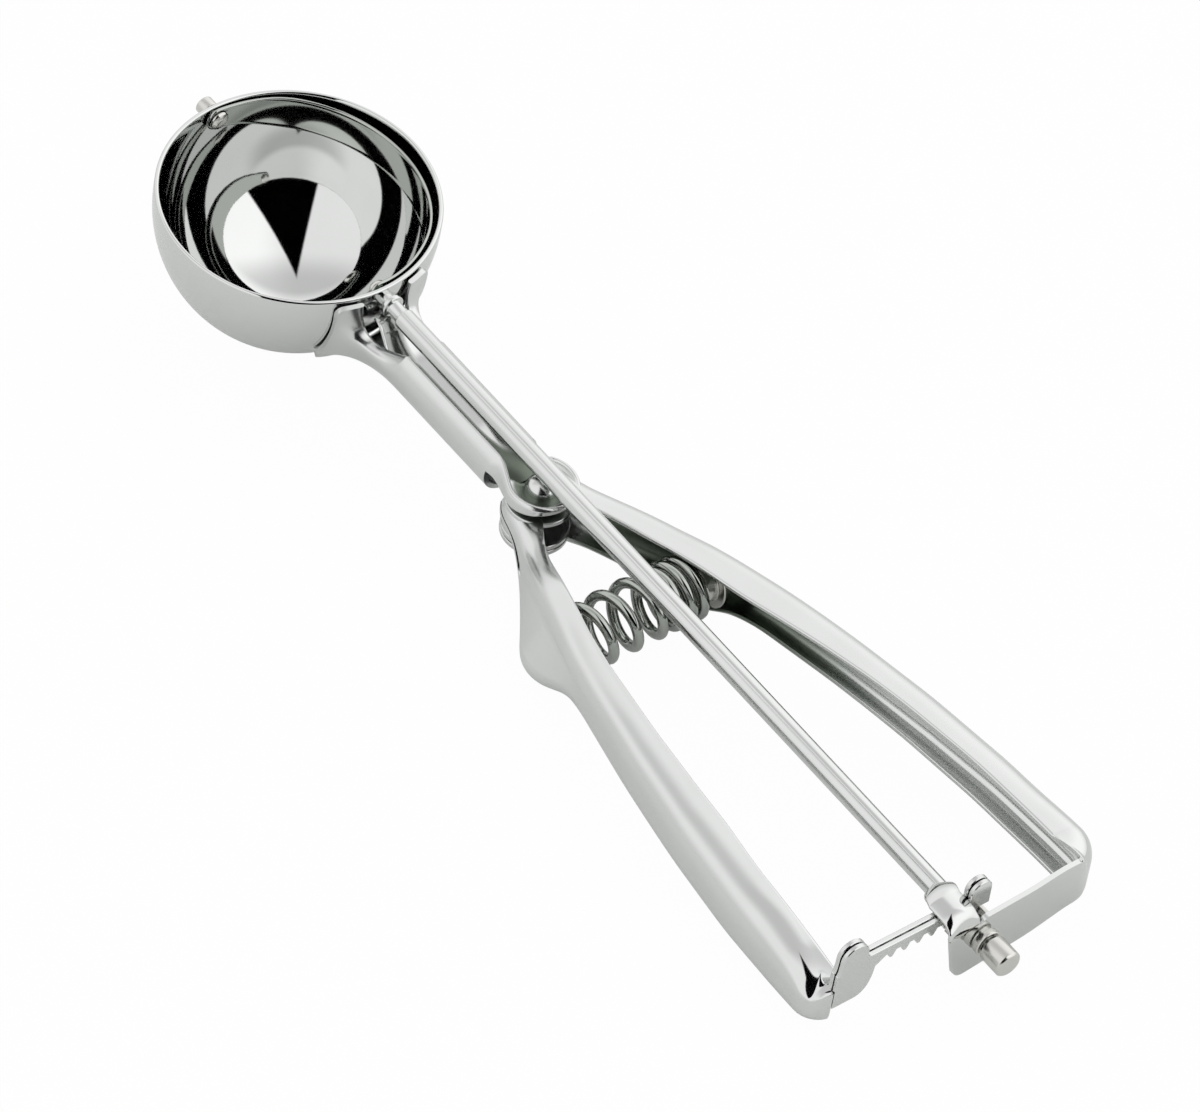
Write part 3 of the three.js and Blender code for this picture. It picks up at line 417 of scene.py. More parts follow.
def wheel_outline():
    """Each tooth is six points at root, pitch and tip radius, turned on by a seventh of a circle."""
    half = (TOOTH / 2 - BACKLASH) / 2 / pitch_radius
    radius = pitch_radius + np.array([-TOOTH_ROOT, 0, TOOTH_TIP, TOOTH_TIP, 0, -TOOTH_ROOT])
    offset = half * np.array([-1.55, -1, -0.4, 0.4, 1, 1.55])
    angle = np.pi / 2 + (np.arange(TEETH)[:, None] + 0.5) * 2 * np.pi / TEETH + offset
    return np.stack([radius * np.cos(angle), radius * np.sin(angle)], -1).reshape(-1, 2)


new_piece("toothed_wheel", plate(wheel_outline(), 192.35, 196.65), ["pinion"], "spindle", "satin", crease=30)

# %% [markdown]
# Double rack
#
# Two stamped plates lie side by side on the moving handle, with teeth below and an ear at each end. A
# stamped plate is its outline carried through the thickness, with a small bevel at the punched edge.

# %% Rack plates
RACK_LEFT, RACK_BOTTOM, RACK_TOP, RACK_SHEET, EAR_TOP, PLAY = -29.9, -3.9, 6.2, 0.9, 10.5, 0.3
TONGUE_LEFT, TONGUE_WIDTH = -8.0, 6.4
tongue_right = TONGUE_LEFT + TONGUE_WIDTH
rack_tip, rack_root = pitch_radius - TOOTH_TIP, pitch_radius + TOOTH_ROOT


def arc(centre, radius, start, end, count=20):
    """Points of a circle between two angles in degrees."""
    t = np.radians(np.linspace(start, end, count))
    return np.c_[centre[0] + radius * np.cos(t), centre[1] + radius * np.sin(t)]


def rack_outline():
    """Bottom edge, a hollow up to the teeth, the teeth, the small right ear, the top and the left ear."""
    first = -TEETH * TOOTH
    half_root, half_tip = 0.85 * (TOOTH / 2 - BACKLASH), 0.28
    middles = first + TOOTH * (np.arange(TEETH) + 1)
    tooth = np.array([[-half_root, rack_root], [-half_tip, rack_tip],
                      [half_tip, rack_tip], [half_root, rack_root]])
    teeth = (tooth[None] + np.c_[middles, 0 * middles][:, None]).reshape(-1, 2)
    small, large = 2.32, 2.9
    right, left = tongue_right + PLAY + small, RACK_LEFT + 3.4
    hollow = bend((first - 4.5, RACK_BOTTOM), (first - 0.8, RACK_BOTTOM), (first - 0.4, rack_root - 1.8))
    return np.concatenate([
        [[RACK_LEFT, RACK_BOTTOM]], hollow, teeth, [[right + small, rack_root]],
        arc((right, EAR_TOP - small), small, 0, 180),
        bend((right - small, 7.2), (right - small, RACK_TOP), (right - small - 1, RACK_TOP), 6),
        bend((left + large + 1, RACK_TOP), (left + large, RACK_TOP), (left + large, 7.2), 6),
        arc((left, EAR_TOP - large), large, 0, 180),
        bend((left - large, 7.0), (left - large - 0.1, 4.4), (RACK_LEFT, rack_root), 8)])


for rack_name, rack_x in (("rack_front", 194.15), ("rack_back", 192.95)):
    rack = plate(rack_outline(), rack_x, rack_x + RACK_SHEET, 0.14)
    new_piece(rack_name + "_plate", rack, [rack_name], "moving_handle", crease=30)

# %% [markdown]
# Shank
#
# The shank is one sheet: a saddle welded to the bowl, a flare, and a tube with an open slot under the rod.
# Each column of the grid starts on the saddle's outline, which lies on the bowl, leaves it on a Bezier curve
# and runs on along the tube. The two wings stay on the bowl and leave an opening under the rod. Near the
# pivot only the left lip goes on, and it turns into the rim of the dish round the rivet.

# %% Outlines of the saddle and the tube
TUBE_RADIUS, TUBE_DROP, TUBE_SLOT, TUBE_END = 5.9, 6.8, 7.6, 64.6
WING, WING_IN, WING_TOP, WING_BOTTOM = 10.2, 5.6, 1.35, -15.5
saddle_radius, saddle_depth = BOWL_RADIUS + 1.3, BOWL_DEPTH + 1.3


def on_bowl(y, z):
    """The saddle's outer face at [y, z]: x from the ellipsoid, and from the cylinder above its middle."""
    low = np.minimum(z, 0)
    x = saddle_radius * np.sqrt(np.maximum(1 - (y / saddle_radius) ** 2 - (low / saddle_depth) ** 2, 0))
    return xyz(x, y, z)


def saddle_outline(columns):
    """[y, z] at even steps along a U with turned-in ends: out along the rim, down, across, up and in."""
    corners = [[WING_IN, WING_TOP], [WING, WING_TOP], [WING, WING_BOTTOM],
               [-WING, WING_BOTTOM], [-WING, WING_TOP], [-WING_IN, WING_TOP]]
    return evenly(eased(corners, 2.2, 9), columns).T


def tube_ring(columns):
    """[y, z] of the tube from its right lip under the rod to its left lip: a circle less the slot."""
    lip = np.arcsin(TUBE_SLOT / 2 / TUBE_RADIUS)
    t = lip + np.linspace(0, 1, columns) * 2 * (np.pi - lip)
    return TUBE_RADIUS * np.sin(t), -TUBE_DROP + TUBE_RADIUS * np.cos(t)


print("saddle and tube:", 2 * WING, "mm and", 2 * TUBE_RADIUS, "mm wide")

# %% Shank
PIVOT_X, DISH_RADIUS, DISH_TOP = 73.4, 6.9, -3.4
SHANK_SHEET, FLARE_END, LIP_FROM = 0.95, 38.0, 0.72
WING_LOW, WING_LOW_SPREAD = (5.0, -7.5), 3.6
WING_OUT, WING_OUT_SPREAD = (31.5, 4.6, -6.5), 1.4
LEAVE, ARRIVE, RUN_ON, RIM_FROM, RIM_TURN = 4.5, 8.0, 7.0, 205, 180
LIP_ROUND, LIP_DEPTH, LIP_RISE = 0.35, 2.5, 1.9


def shank_sheet(columns=121, flare_rows=44, tube_rows=40, flow_rows=60):
    """Bezier from the outline to the tube, straight rows to the tube's end, then the flow of the left lip:
    (1 - w) * tube + w * dish rim, with w a smooth step. The Bezier leaves along the bowl towards the tube,
    and near the lips down the bowl first, which keeps the wing on it."""
    y0, z0 = saddle_outline(columns)
    start = on_bowl(y0, z0)
    ty, tz = tube_ring(columns)
    end = xyz(FLARE_END, ty, tz)
    share = np.linspace(-1, 1, columns)
    top = step(np.abs(share), 0.5, 0.88)[:, None]
    outer = np.clip(2 - 2 * np.abs(share), 0, 1)
    hand = -np.sign(share)
    toward = np.stack([ty - y0, tz - z0], -1)
    length = np.maximum(np.linalg.norm(toward, axis=1, keepdims=True), 1e-6)
    along = toward / length * np.minimum(0.75 * length, LEAVE)
    first = (1 - top) * on_bowl(y0 + along[:, 0], np.minimum(z0 + along[:, 1], WING_TOP))
    first = first + top * on_bowl(hand * (WING_LOW[0] + WING_LOW_SPREAD * outer), 0 * y0 + WING_LOW[1])
    beside = hand * (WING_OUT[1] + WING_OUT_SPREAD * outer)
    second = (1 - top) * (end - [ARRIVE, 0, 0]) + top * xyz(WING_OUT[0], beside, WING_OUT[2] - outer)
    t = np.linspace(0, 1, flare_rows)[:, None, None]
    flare = (1 - t) ** 3 * start + 3 * t * (1 - t) ** 2 * first + 3 * t ** 2 * (1 - t) * second + t ** 3 * end
    xs = np.linspace(FLARE_END, TUBE_END, tube_rows)[1:]
    tube = xyz(xs[:, None], ty, tz)
    flow = np.linspace(0, 1, flow_rows + 1)[1:]
    weight = step(flow, 0.0, 0.3)[:, None, None]
    angle = np.radians(RIM_FROM + RIM_TURN * flow)[:, None]
    depth = np.clip((np.abs(share) - 1) / (LIP_FROM - 1), 0, 1)
    radius = DISH_RADIUS - LIP_ROUND + LIP_ROUND * np.sin(np.pi / 2 * np.minimum(depth * 2.5, 1))
    rim = xyz(PIVOT_X + radius * np.cos(angle), radius * np.sin(angle),
              DISH_TOP - (LIP_DEPTH - LIP_RISE * step(flow, 0.3, 0.9)[:, None]) * depth)
    run_on = xyz(TUBE_END + RUN_ON * flow[:, None], ty, tz)
    strip = np.r_[tube[-1:], (1 - weight) * run_on + weight * rim][:, share >= LIP_FROM]
    return gathered(thick(np.r_[flare, tube], SHANK_SHEET, (0, 0, -1)), thick(strip, SHANK_SHEET, (0, -1, 0)))


new_piece("shank_sheet", shank_sheet(), ["shank"])

# %% [markdown]
# Dish, rivet and washer at the pivot
#
# The fixed handle's upper ear is pressed into a shallow dish round the domed head of the rivet. In front it
# opens into the tube's trough. The dish is a polar grid whose rim height depends on the direction, and the
# trough's floor is a strip inside the tube. Both are painted dark grey-green as shade inside the dish, near
# it and in a line along the tube's left lip.

# %% Dish
DISH_FLOOR, DISH_HOLE, DISH_FLAT, DISH_EDGE, DISH_SHEET = -5.0, 1.9, 2.6, DISH_RADIUS - 0.8, 0.9


def dish_sheet(rings=26, sides=144):
    """Height over radius r and direction t: the floor, then a wall that grows with a power of r. In front
    the wall fades out and the floor dips."""
    r = np.linspace(DISH_HOLE, DISH_EDGE, rings)[:, None]
    t = np.linspace(0, 2 * np.pi, sides, endpoint=False)
    front = np.cos(t - np.pi)
    height = (DISH_TOP - DISH_FLOOR - 0.25) * (1 - step(front, 0.72, 0.93))
    rise = np.clip((r - DISH_FLAT) / (DISH_EDGE - DISH_FLAT), 0, 1)
    z = DISH_FLOOR + height * rise ** 2.2 - 0.9 * step(front, 0.6, 0.9) * rise
    points = xyz(PIVOT_X + r * np.cos(t), r * np.sin(t), z)
    return thick(np.swapaxes(points, 0, 1), DISH_SHEET, (0, 0, 1), round_rows=True)


def dish_shade(p, n):
    """Painted shade: dark grey-green inside the dish, giving way to polished steel towards the rim."""
    return 2 - 1.6 * step(np.hypot(p[:, 0] - PIVOT_X, p[:, 1]), 4.6, 6.0)


new_piece("pivot_dish", dish_sheet(), ["right_handle"], soft_and_shade=dish_shade)

# %% Trough floor
TROUGH_FLOOR, TROUGH_LEAN, TROUGH_HALF, TROUGH_SHEET = -7.1, 0.165, 4.3, 0.5
TROUGH_START, TROUGH_END, RAMP_END, RAMP_RISE, LIFT_START = 26.9, PIVOT_X - 2.9, 37.0, 4.4, 54.0


def trough_sheet(rows=90, columns=25):
    """The trough's floor: a strip inside the tube that leans to the left, so that its right half shows the
    sky past the rod. Two smooth steps lift it, in front to the bearing and behind to the dish."""
    x = np.linspace(TROUGH_START, TROUGH_END, rows)[:, None]
    across = np.linspace(-1, 1, columns)
    lift = step(x, LIFT_START, PIVOT_X - 4.0)
    ramp = 1 - step(x, TROUGH_START, RAMP_END)
    half = TROUGH_HALF - 0.6 * lift - 2.0 * ramp
    z = (TROUGH_FLOOR + (DISH_FLOOR + 0.05 - TROUGH_FLOOR) * lift
         + (1 - lift) * TROUGH_LEAN * (half * across - 1))
    return thick(xyz(x, half * across, z + RAMP_RISE * ramp), TROUGH_SHEET, (0, 0, 1))


def trough_shade(p, n):
    """Painted shade near the dish and a painted shadow line along the left lip, both dark grey-green;
    polished elsewhere.
    """
    # A thin line of painted shadow along the left lip.
    lip_shadow = (1 - step(p[:, 1], 0.2, 0.6)) * step(p[:, 0], 35, 38)
    return 0.4 + 1.6 * np.maximum(step(p[:, 0] - 1.6 * p[:, 1], 57, 63), lip_shadow)


new_piece("trough_floor", trough_sheet(), ["shank"], soft_and_shade=trough_shade)

# %% Rivet and washer
DOME_FOOT, DOME_RISE, DOME_RADIUS, STEM = -4.95, 2.35, 3.0, 1.75
t = np.linspace(0, np.pi / 2, 20)[1:]
dome = np.c_[DOME_FOOT + DOME_RISE * np.sin(t), DOME_RADIUS * np.cos(t)]
stem = eased([[-18.8, 0], [-18.8, 2.1], [-17.8, 2.7], [-17.8, STEM], [DOME_FOOT, STEM],
              [DOME_FOOT, DOME_RADIUS]], 0.25)
pivot_line = np.r_[stem, dome]
pivot_line[-1, 1] = 0
new_piece("domed_rivet", turned(pivot_line, "z", (PIVOT_X, 0, 0), 72), ["pivot_rivet"])
washer_ring = eased([[-17.5, 2.05], [-17.5, 4.0], [-16.5, 4.0], [-16.5, 2.05], [-17.5, 2.05]], 0.2)[:-1]
new_piece("lower_washer", turned(washer_ring, "z", (PIVOT_X, 0, 0), 72, True), ["pivot_washer"], slot="satin")

# %% [markdown]
# Handles
#
# Each handle is a channel folded from one sheet, open towards the other handle. Its section has a lower
# flange, a wall that leans out in a lobe under the spring, and an upper flange, with round folds between
# them. The section is carried along the handle's outer line in plan, round the end corner, and on the right
# side on into the cross arm. The outside is polished most at the rear, where it is held, and inside the right
# channel near the spring a dark grey-green is painted on as shade.

# %% Lines of the handles
PLATE_X, ARM_SLANT = 198.4, 0.06
FOLD = [[76, 4.4], [120, 4.6], [165, 6.2], [178, 6.2], [190, 4.8], [198, 4.8]]
OUTER = [[73, 6.7], [77, 7.7], [81, 10], [90, 14.1], [98, 16.7], [107, 19.5], [116, 21.7], [133, 25],
         [151, 27.8], [169, 29.7], [184, 30.2], [198, 30.2]]
SKIRT = [[76, 0], [84, 0.2], [89, 1], [94, 2.5], [99, 4.6], [104, 3.5], [110, 0.4], [116, 0], [198, 0]]
TOP = [[93, -2.8], [101, -1.6], [110, -1.1], [125, 0.2], [150, 1.6], [198, 3.6]]
BOTTOM = [[88, -16.4], [94, -17.1], [100, -17.1], [104, -16.2], [109, -13], [115, -11.8], [150, -10.6],
          [198, -8.5]]
LOWER_FLANGE = [[76, 5], [104, 4], [141, 4.2], [172, 5], [198, 5]]
RIGHT = {"spread": 0, "corner": 8.0, "end": PLATE_X - ARM_SLANT * 30.2, "top": DISH_TOP, "bottom": -16.2,
         "flange": [[76, 6], [90, 7], [115, 8.4], [142, 7], [198, 7]], "wrap": 150,
         "turn": np.pi / 2 - np.arctan(ARM_SLANT)}
LEFT = {"spread": 0.034, "corner": 5.5, "end": 195.05, "top": -7.6, "bottom": -14.9,
        "flange": [[76, 6], [86, 4.5], [114, 5.3], [124, 5.7], [155, 7.4], [198, 6.8]], "wrap": 140,
        "turn": np.radians(73.5)}


def handle_levels(side, x):
    """Top, bottom, skirt and the two flange widths over x, level at the pivot and smooth from there on."""
    ear_ends = PIVOT_X, PIVOT_X + 8
    top = smooth_line([[a, side["top"]] for a in ear_ends] + TOP)(x)
    bottom = smooth_line([[a, side["bottom"]] for a in ear_ends] + BOTTOM, 1.6)(x)
    return top, bottom, smooth_line(SKIRT)(x), smooth_line(side["flange"])(x), smooth_line(LOWER_FLANGE)(x)


print("grips at their middle:", smooth_line(OUTER)(130.0).round(1), "mm out")

# %% Outer line in plan
PIVOT_ROUND = 6.75


def handle_path(side):
    """The outer line in plan, at steps of 0.4 mm: an arc round the pivot, the outer line, and an arc of the
    side's turn at the end. Gives the points, their outward normals and how many come before the corner."""
    wrap = np.radians(np.linspace(side["wrap"], 96, 16))
    front = np.c_[PIVOT_X + PIVOT_ROUND * np.cos(wrap), PIVOT_ROUND * np.sin(wrap)]
    xs = np.linspace(74.2, side["end"] - side["corner"], 250)
    main = np.c_[xs, smooth_line(OUTER)(xs) + side["spread"] * (xs - PIVOT_X)]
    body = softened(evenly(np.r_[front, main]), 4)
    lean = np.arctan2(*(body[-1] - body[-2])[::-1])
    t = lean - np.linspace(0, side["turn"] + lean, 40)[1:]
    outward = np.c_[-np.sin(t), np.cos(t)]
    centre = body[-1] - side["corner"] * np.array([-np.sin(lean), np.cos(lean)])
    corner = centre + side["corner"] * outward
    points = np.r_[body, corner]
    ahead = np.gradient(points, axis=0)
    normal = unit(np.c_[-ahead[:, 1], ahead[:, 0]])
    normal[len(body):] = outward
    return points, normal, len(body)


print("right outer line:", len(handle_path(RIGHT)[0]), "points")

# %% Section of a handle
SHEET, LOW_FOLD, FOLD_SHARE, LOW_SHARE, FOLD_FULL = 1.0, 4.0, 0.94, 0.9, 1.5


def channel_grid(points, normal, top, bottom, skirt, lips):
    """Columns of the section: the lower flange from its lip to the fold, the fold, the leaning wall, the
    upper fold and what is left of the upper flange. A fold turns by a quarter, slowest at its two ends, so
    that it runs into its neighbours without a line. Gives the grid, its outward directions, which go from
    down over the plan normal to up or stay at the plan normal where a fold runs out, and the sizes of the
    upper fold."""
    upper, under = lips
    room_top = np.linalg.norm(upper - points, axis=1)
    room_low = np.linalg.norm(under - points - skirt[:, None] * normal, axis=1)
    fold_top = np.minimum(smooth_line(FOLD)(points[:, 0]), FOLD_SHARE * room_top)[:, None]
    fold_low = np.minimum(LOW_FOLD, LOW_SHARE * room_low)[:, None]
    share = np.linspace(0, 1, 17)
    turn = np.pi / 2 * (0.4 * share + 0.6 * step(share, 0, 1))
    run = np.cumsum(np.r_[0, (np.cos(turn[1:]) + np.cos(turn[:-1])) / 2])
    run = run / run[-1]
    rise = 1 - run[::-1]
    foot = points + skirt[:, None] * normal
    outward, up = np.c_[normal, 0 * top], np.array([0.0, 0.0, 1.0])
    low_fold = [np.c_[foot - fold_low * (1 - a) * normal, bottom + fold_low[:, 0] * b]
                for a, b in zip(run, rise)]
    high_fold = [np.c_[points - fold_top * b * normal, top - fold_top[:, 0] * (1 - a)]
                 for a, b in zip(run, rise)]
    columns = [*np.linspace(np.c_[under, bottom], low_fold[0], 6)[:-1], *low_fold,
               *np.linspace(low_fold[-1], high_fold[0], 10)[1:-1], *high_fold,
               *np.linspace(high_fold[-1], np.c_[upper, top], 9)[1:]]
    bent_low, bent_top = np.clip(fold_low / FOLD_FULL, 0, 1), np.clip(fold_top / FOLD_FULL, 0, 1)
    facing = [(1 - bent_low) * outward + bent_low * (np.sin(q) * outward - np.cos(q) * up)
              for q in np.r_[np.zeros(5), turn]]
    facing += [outward] * 8
    facing += [(1 - bent_top) * outward + bent_top * (np.cos(q) * outward + np.sin(q) * up)
               for q in np.r_[turn, np.full(8, np.pi / 2)]]
    return np.stack(columns, 1), np.stack(facing, 1), fold_top


print("sheet", SHEET, "mm, lower fold", LOW_FOLD, "mm")

# %% Ears, lips and polish
EAR, EAR_HOLE, UPPER_RING, LOWER_RING = 6.25, 2.05, 4.9, 4.6


def ear(level):
    """A flat round ear about the pivot with a hole, as a ring turned from a rounded rectangle."""
    low = level - SHEET
    ring = eased([[low, EAR_HOLE], [low, EAR], [level, EAR], [level, EAR_HOLE], [low, EAR_HOLE]], 0.25)[:-1]
    return turned(ring, "z", (PIVOT_X, 0, 0), 96, True)


def front_lips(points, normal, width, ring):
    """The lip's plan line: round the pivot in front, then the flange's width in from the outer line."""
    along = np.c_[points[:, 0], points[:, 1] - width]
    turn = step(points[:, 0], PIVOT_X, PIVOT_X + 9)[:, None]
    return (1 - turn) * (points - ring * normal) + turn * along


def held_soft(p, n):
    """Polished most at the rear, where the handle is held."""
    return 0.9 - 0.7 * step(p[:, 0], 165, 185)


print("an ear has", len(ear(0)[1]), "faces")

# %% Left handle, which moves
STOP_X, STOP_Y, FLANGE_WIDTH, REAR_DROP = 192.5, 30.1, 6.8, 0.9
DIP_START, DIP_RUN, END_START, END_RUN, END_DIP = 166, 26.4, 184, 8.4, 2.0


def left_sheet():
    """The channel of the left handle, mirrored in Y. Its lips run along the flange lines, the upper one
    stops at the rack and the lower one goes round the corner under it. The upper flange dips to the rack on
    two squared ramps, the second more at its outer side."""
    points, normal, corner = handle_path(LEFT)
    top, bottom, skirt, flange, lower = handle_levels(LEFT, points[:, 0])
    top = top - REAR_DROP * step(points[:, 0], 172, 195)
    upper = front_lips(points, normal, flange, UPPER_RING)
    past = np.linspace(0, 1, len(points) - corner)
    upper[corner:, 0] = np.interp(past, [0, 0.3], [upper[corner - 1, 0], STOP_X])
    upper[corner:, 1] = np.interp(past, [0.3, 1], [upper[corner - 1, 1], STOP_Y])
    upper[corner - 12:] = softened(upper[corner - 12:], 2.5)
    under = front_lips(points, normal, lower, LOWER_RING)
    under[corner:] = points[corner:] - np.minimum(lower[corner - 1], LEFT["corner"] - 0.9) * normal[corner:]
    grid, facing, fold = channel_grid(points, normal, top, bottom, skirt, (upper, under))
    high = np.clip((grid[..., 2] - (top[:, None] - fold)) / np.maximum(fold, 0.5), 0, 1)
    grid[..., 2] -= high * np.clip((grid[..., 0] - DIP_START) / DIP_RUN, 0, 1) ** 2
    inward = np.clip((points[corner, 1] - grid[..., 1]) / FLANGE_WIDTH, 0, 1)
    grid[..., 2] -= END_DIP * (1.4 - inward) * high * np.clip((grid[..., 0] - END_START) / END_RUN, 0, 1) ** 2
    return thick(grid * [1, -1, 1], SHEET, normals=facing * [1, -1, 1])


new_piece("left_channel", left_sheet(), ["left_handle"], "moving_handle", soft_and_shade=held_soft)
new_piece("left_ears", gathered(ear(-7.65), ear(-13.95)), ["left_handle"], "moving_handle")

# %% [markdown]
# Cross arm and tongue
#
# The right handle's sheet runs on round its end corner into an arm that carries the rod's rear bearing. From
# the arm's upper edge a tongue is folded forward over the rack and keeps its teeth in the wheel. The arm
# takes on the channel's grid with its flanges faded out, so that the corner shows no seam, and the tongue is
# a crowned strip of its own.

# %% Right channel and arm
ARM_TOP, ARM_BOTTOM = [[0.4, 5.2], [22.2, 4.4]], [[-8, -7.6], [22.2, -7.1]]
FOOT_RADIUS, CORNER_LIFT, TONGUE_JOIN = 3.0, 1.3, 4.2


def arm_face(y):
    """x of the arm's rear face, which slants across."""
    return PLATE_X - ARM_SLANT * y


def right_sheet():
    """The channel of the right handle, its end corner, and the arm as a wall with no flanges. The arm's
    upper edge rises to the tongue, and its lower edge ends in a round foot."""
    lean = np.arctan(ARM_SLANT)
    points, normal, corner = handle_path(RIGHT)
    top, bottom, skirt, flange, lower = handle_levels(RIGHT, points[:, 0])
    arm_y = np.r_[np.linspace(points[-1, 1], tongue_right, 70)[1:-1],
                  np.linspace(tongue_right, TONGUE_LEFT, 17)]
    shift = points[-1, 0] - arm_face(points[-1, 1])
    arm = np.c_[arm_face(arm_y) + shift * step(arm_y, 10, 22), arm_y]
    arm_normal = np.tile([np.cos(lean), np.sin(lean)], (len(arm), 1))
    rise = step(arm_y, tongue_right + 2.0, tongue_right + 0.1)
    arm_top = np.interp(arm_y, *np.transpose(ARM_TOP)) * (1 - rise) + TONGUE_JOIN * rise
    foot_x = np.clip(TONGUE_LEFT + 2 + FOOT_RADIUS - arm_y, 0, FOOT_RADIUS)
    foot = FOOT_RADIUS - np.sqrt(FOOT_RADIUS ** 2 - foot_x ** 2)
    edge = np.clip((TONGUE_LEFT + 2 - arm_y) / 2, 0, 1)
    arm_bottom = np.interp(arm_y, *np.transpose(ARM_BOTTOM)) + foot
    arm_bottom = arm_bottom + edge * (TONGUE_JOIN - arm_bottom)
    size, none = len(points), np.zeros(len(arm))
    every, normals = np.r_[points, arm], np.r_[normal, arm_normal]
    top, bottom, skirt = np.r_[top, arm_top], np.r_[bottom, arm_bottom], np.r_[skirt, none]
    blend = slice(corner - 20, size + 40)
    top[blend], bottom[blend] = softened(top[blend], 8), softened(bottom[blend], 8)
    bottom = bottom + CORNER_LIFT * np.exp(-((np.arange(len(bottom)) - size + 8) / 14) ** 2)
    turn = np.linspace(0, 1, size - corner)
    lips = []
    for width, fade_from in ((flange, 0.7), (lower, 0.2)):
        lip = front_lips(points, normal, width, UPPER_RING)
        drop = np.maximum(points[corner:, 1] - lip[corner - 1, 1], 0)
        wide = np.minimum(drop / np.maximum(normal[corner:, 1], 0.05), RIGHT["corner"] - 0.4)
        wide = np.r_[wide * (1 - step(turn, fade_from, 1.0)), none]
        lips.append(np.r_[lip[:corner], every[corner:] - wide[:, None] * normals[corner:]])
    grid, facing, _ = channel_grid(every, normals, top, bottom, skirt, lips)
    return thick(grid, SHEET, normals=facing)


print("arm's rear face behind the tongue: x", round(arm_face(TONGUE_LEFT), 2), "mm")

# %% Tongue over the rack
TONGUE_TOP, TONGUE_TIP_TOP, TONGUE_TIP, TONGUE_BEND = 7.4, 4.3, 187.3, 192.2
TONGUE_SHIFT, TONGUE_FOLD, TONGUE_CROWN, TONGUE_SHEET = 1.8, 3.2, 0.85, 0.75


def tongue_sheet(columns=25):
    """A strip across the tongue's width: up the plate, a quarter-round fold, level to the bend, and a
    quadratic curve down to the tip, where the width follows a circle. Past the fold the strip is crowned by
    CROWN * (0.65 - s^2)."""
    s = np.linspace(1, -1, columns)
    middle, half = (TONGUE_LEFT + tongue_right) / 2, TONGUE_WIDTH / 2
    fold = np.linspace(0, np.pi / 2, 14)
    level = np.linspace(0, 1, 12)[1:]
    back = arm_face(TONGUE_LEFT + half)
    tip = bend((TONGUE_BEND, TONGUE_TOP), (TONGUE_BEND - 2.6, TONGUE_TOP),
               (TONGUE_TIP, TONGUE_TIP_TOP), 40)[1:]
    x = np.r_[back, back - TONGUE_FOLD * (1 - np.cos(fold)),
              back - TONGUE_FOLD + (TONGUE_BEND - back + TONGUE_FOLD) * level, tip[:, 0]]
    z = np.r_[TONGUE_JOIN, TONGUE_TOP - TONGUE_FOLD * (1 - np.sin(fold)), 0 * level + TONGUE_TOP, tip[:, 1]]
    past = np.clip((TONGUE_TIP + half - x) / half, 0, 1)
    wide = half * np.sqrt(np.maximum(1 - past ** 2, 0))
    shift = TONGUE_SHIFT * np.clip((TONGUE_BEND - x) / (TONGUE_BEND - TONGUE_TIP), 0, 1)
    crown = TONGUE_CROWN * step(back - x, 0.0, 1.4)
    y = middle + shift[:, None] + wide[:, None] * s
    slant = ARM_SLANT * (middle - y) * step(x, TONGUE_BEND, back)[:, None]
    grid = xyz(x[:, None] + slant, y, z[:, None] + crown[:, None] * (0.65 - s ** 2))
    return thick(grid, TONGUE_SHEET, (0, 0, 1))


print("tongue:", TONGUE_WIDTH, "mm wide")


# %% Right handle
def right_polish_and_shade(p, n):
    """As held_soft, plus painted shade, dark grey-green, inside the channel near the spring, where the normal
    points to the section's middle.
    """
    top, bottom = handle_levels(RIGHT, p[:, 0])[:2]
    away = n[:, 1] * (p[:, 1] - smooth_line(OUTER)(p[:, 0]) + 6) + n[:, 2] * (p[:, 2] - (top + bottom) / 2)
    # The inside near the spring is where shade falls; it is painted dark.
    inside = step(-away, 0.3, 1.0) * step(p[:, 0], 76, 82) * (1 - step(p[:, 0], 115, 150))
    return held_soft(p, n) + 1.1 * inside


new_piece("right_channel", gathered(right_sheet(), tongue_sheet()), ["right_handle"], soft_and_shade=right_polish_and_shade)
new_piece("right_ear", ear(-15.25), ["right_handle"])

# %% [markdown]
# Spring and its seats
#
# A compression spring of thick wire pushes the handles apart: wide turns on the left, close turns on the
# right. A circle is carried along a helix whose pitch changes. When the handles close, the spring's left end
# goes with the moving handle and its right end stays.

# %% Spring
SPRING_X, SPRING_Z, SPRING_RADIUS, WIRE = 102.3, -9.4, 5.5, 1.0
spring_left, spring_right = -15.5, 14.5


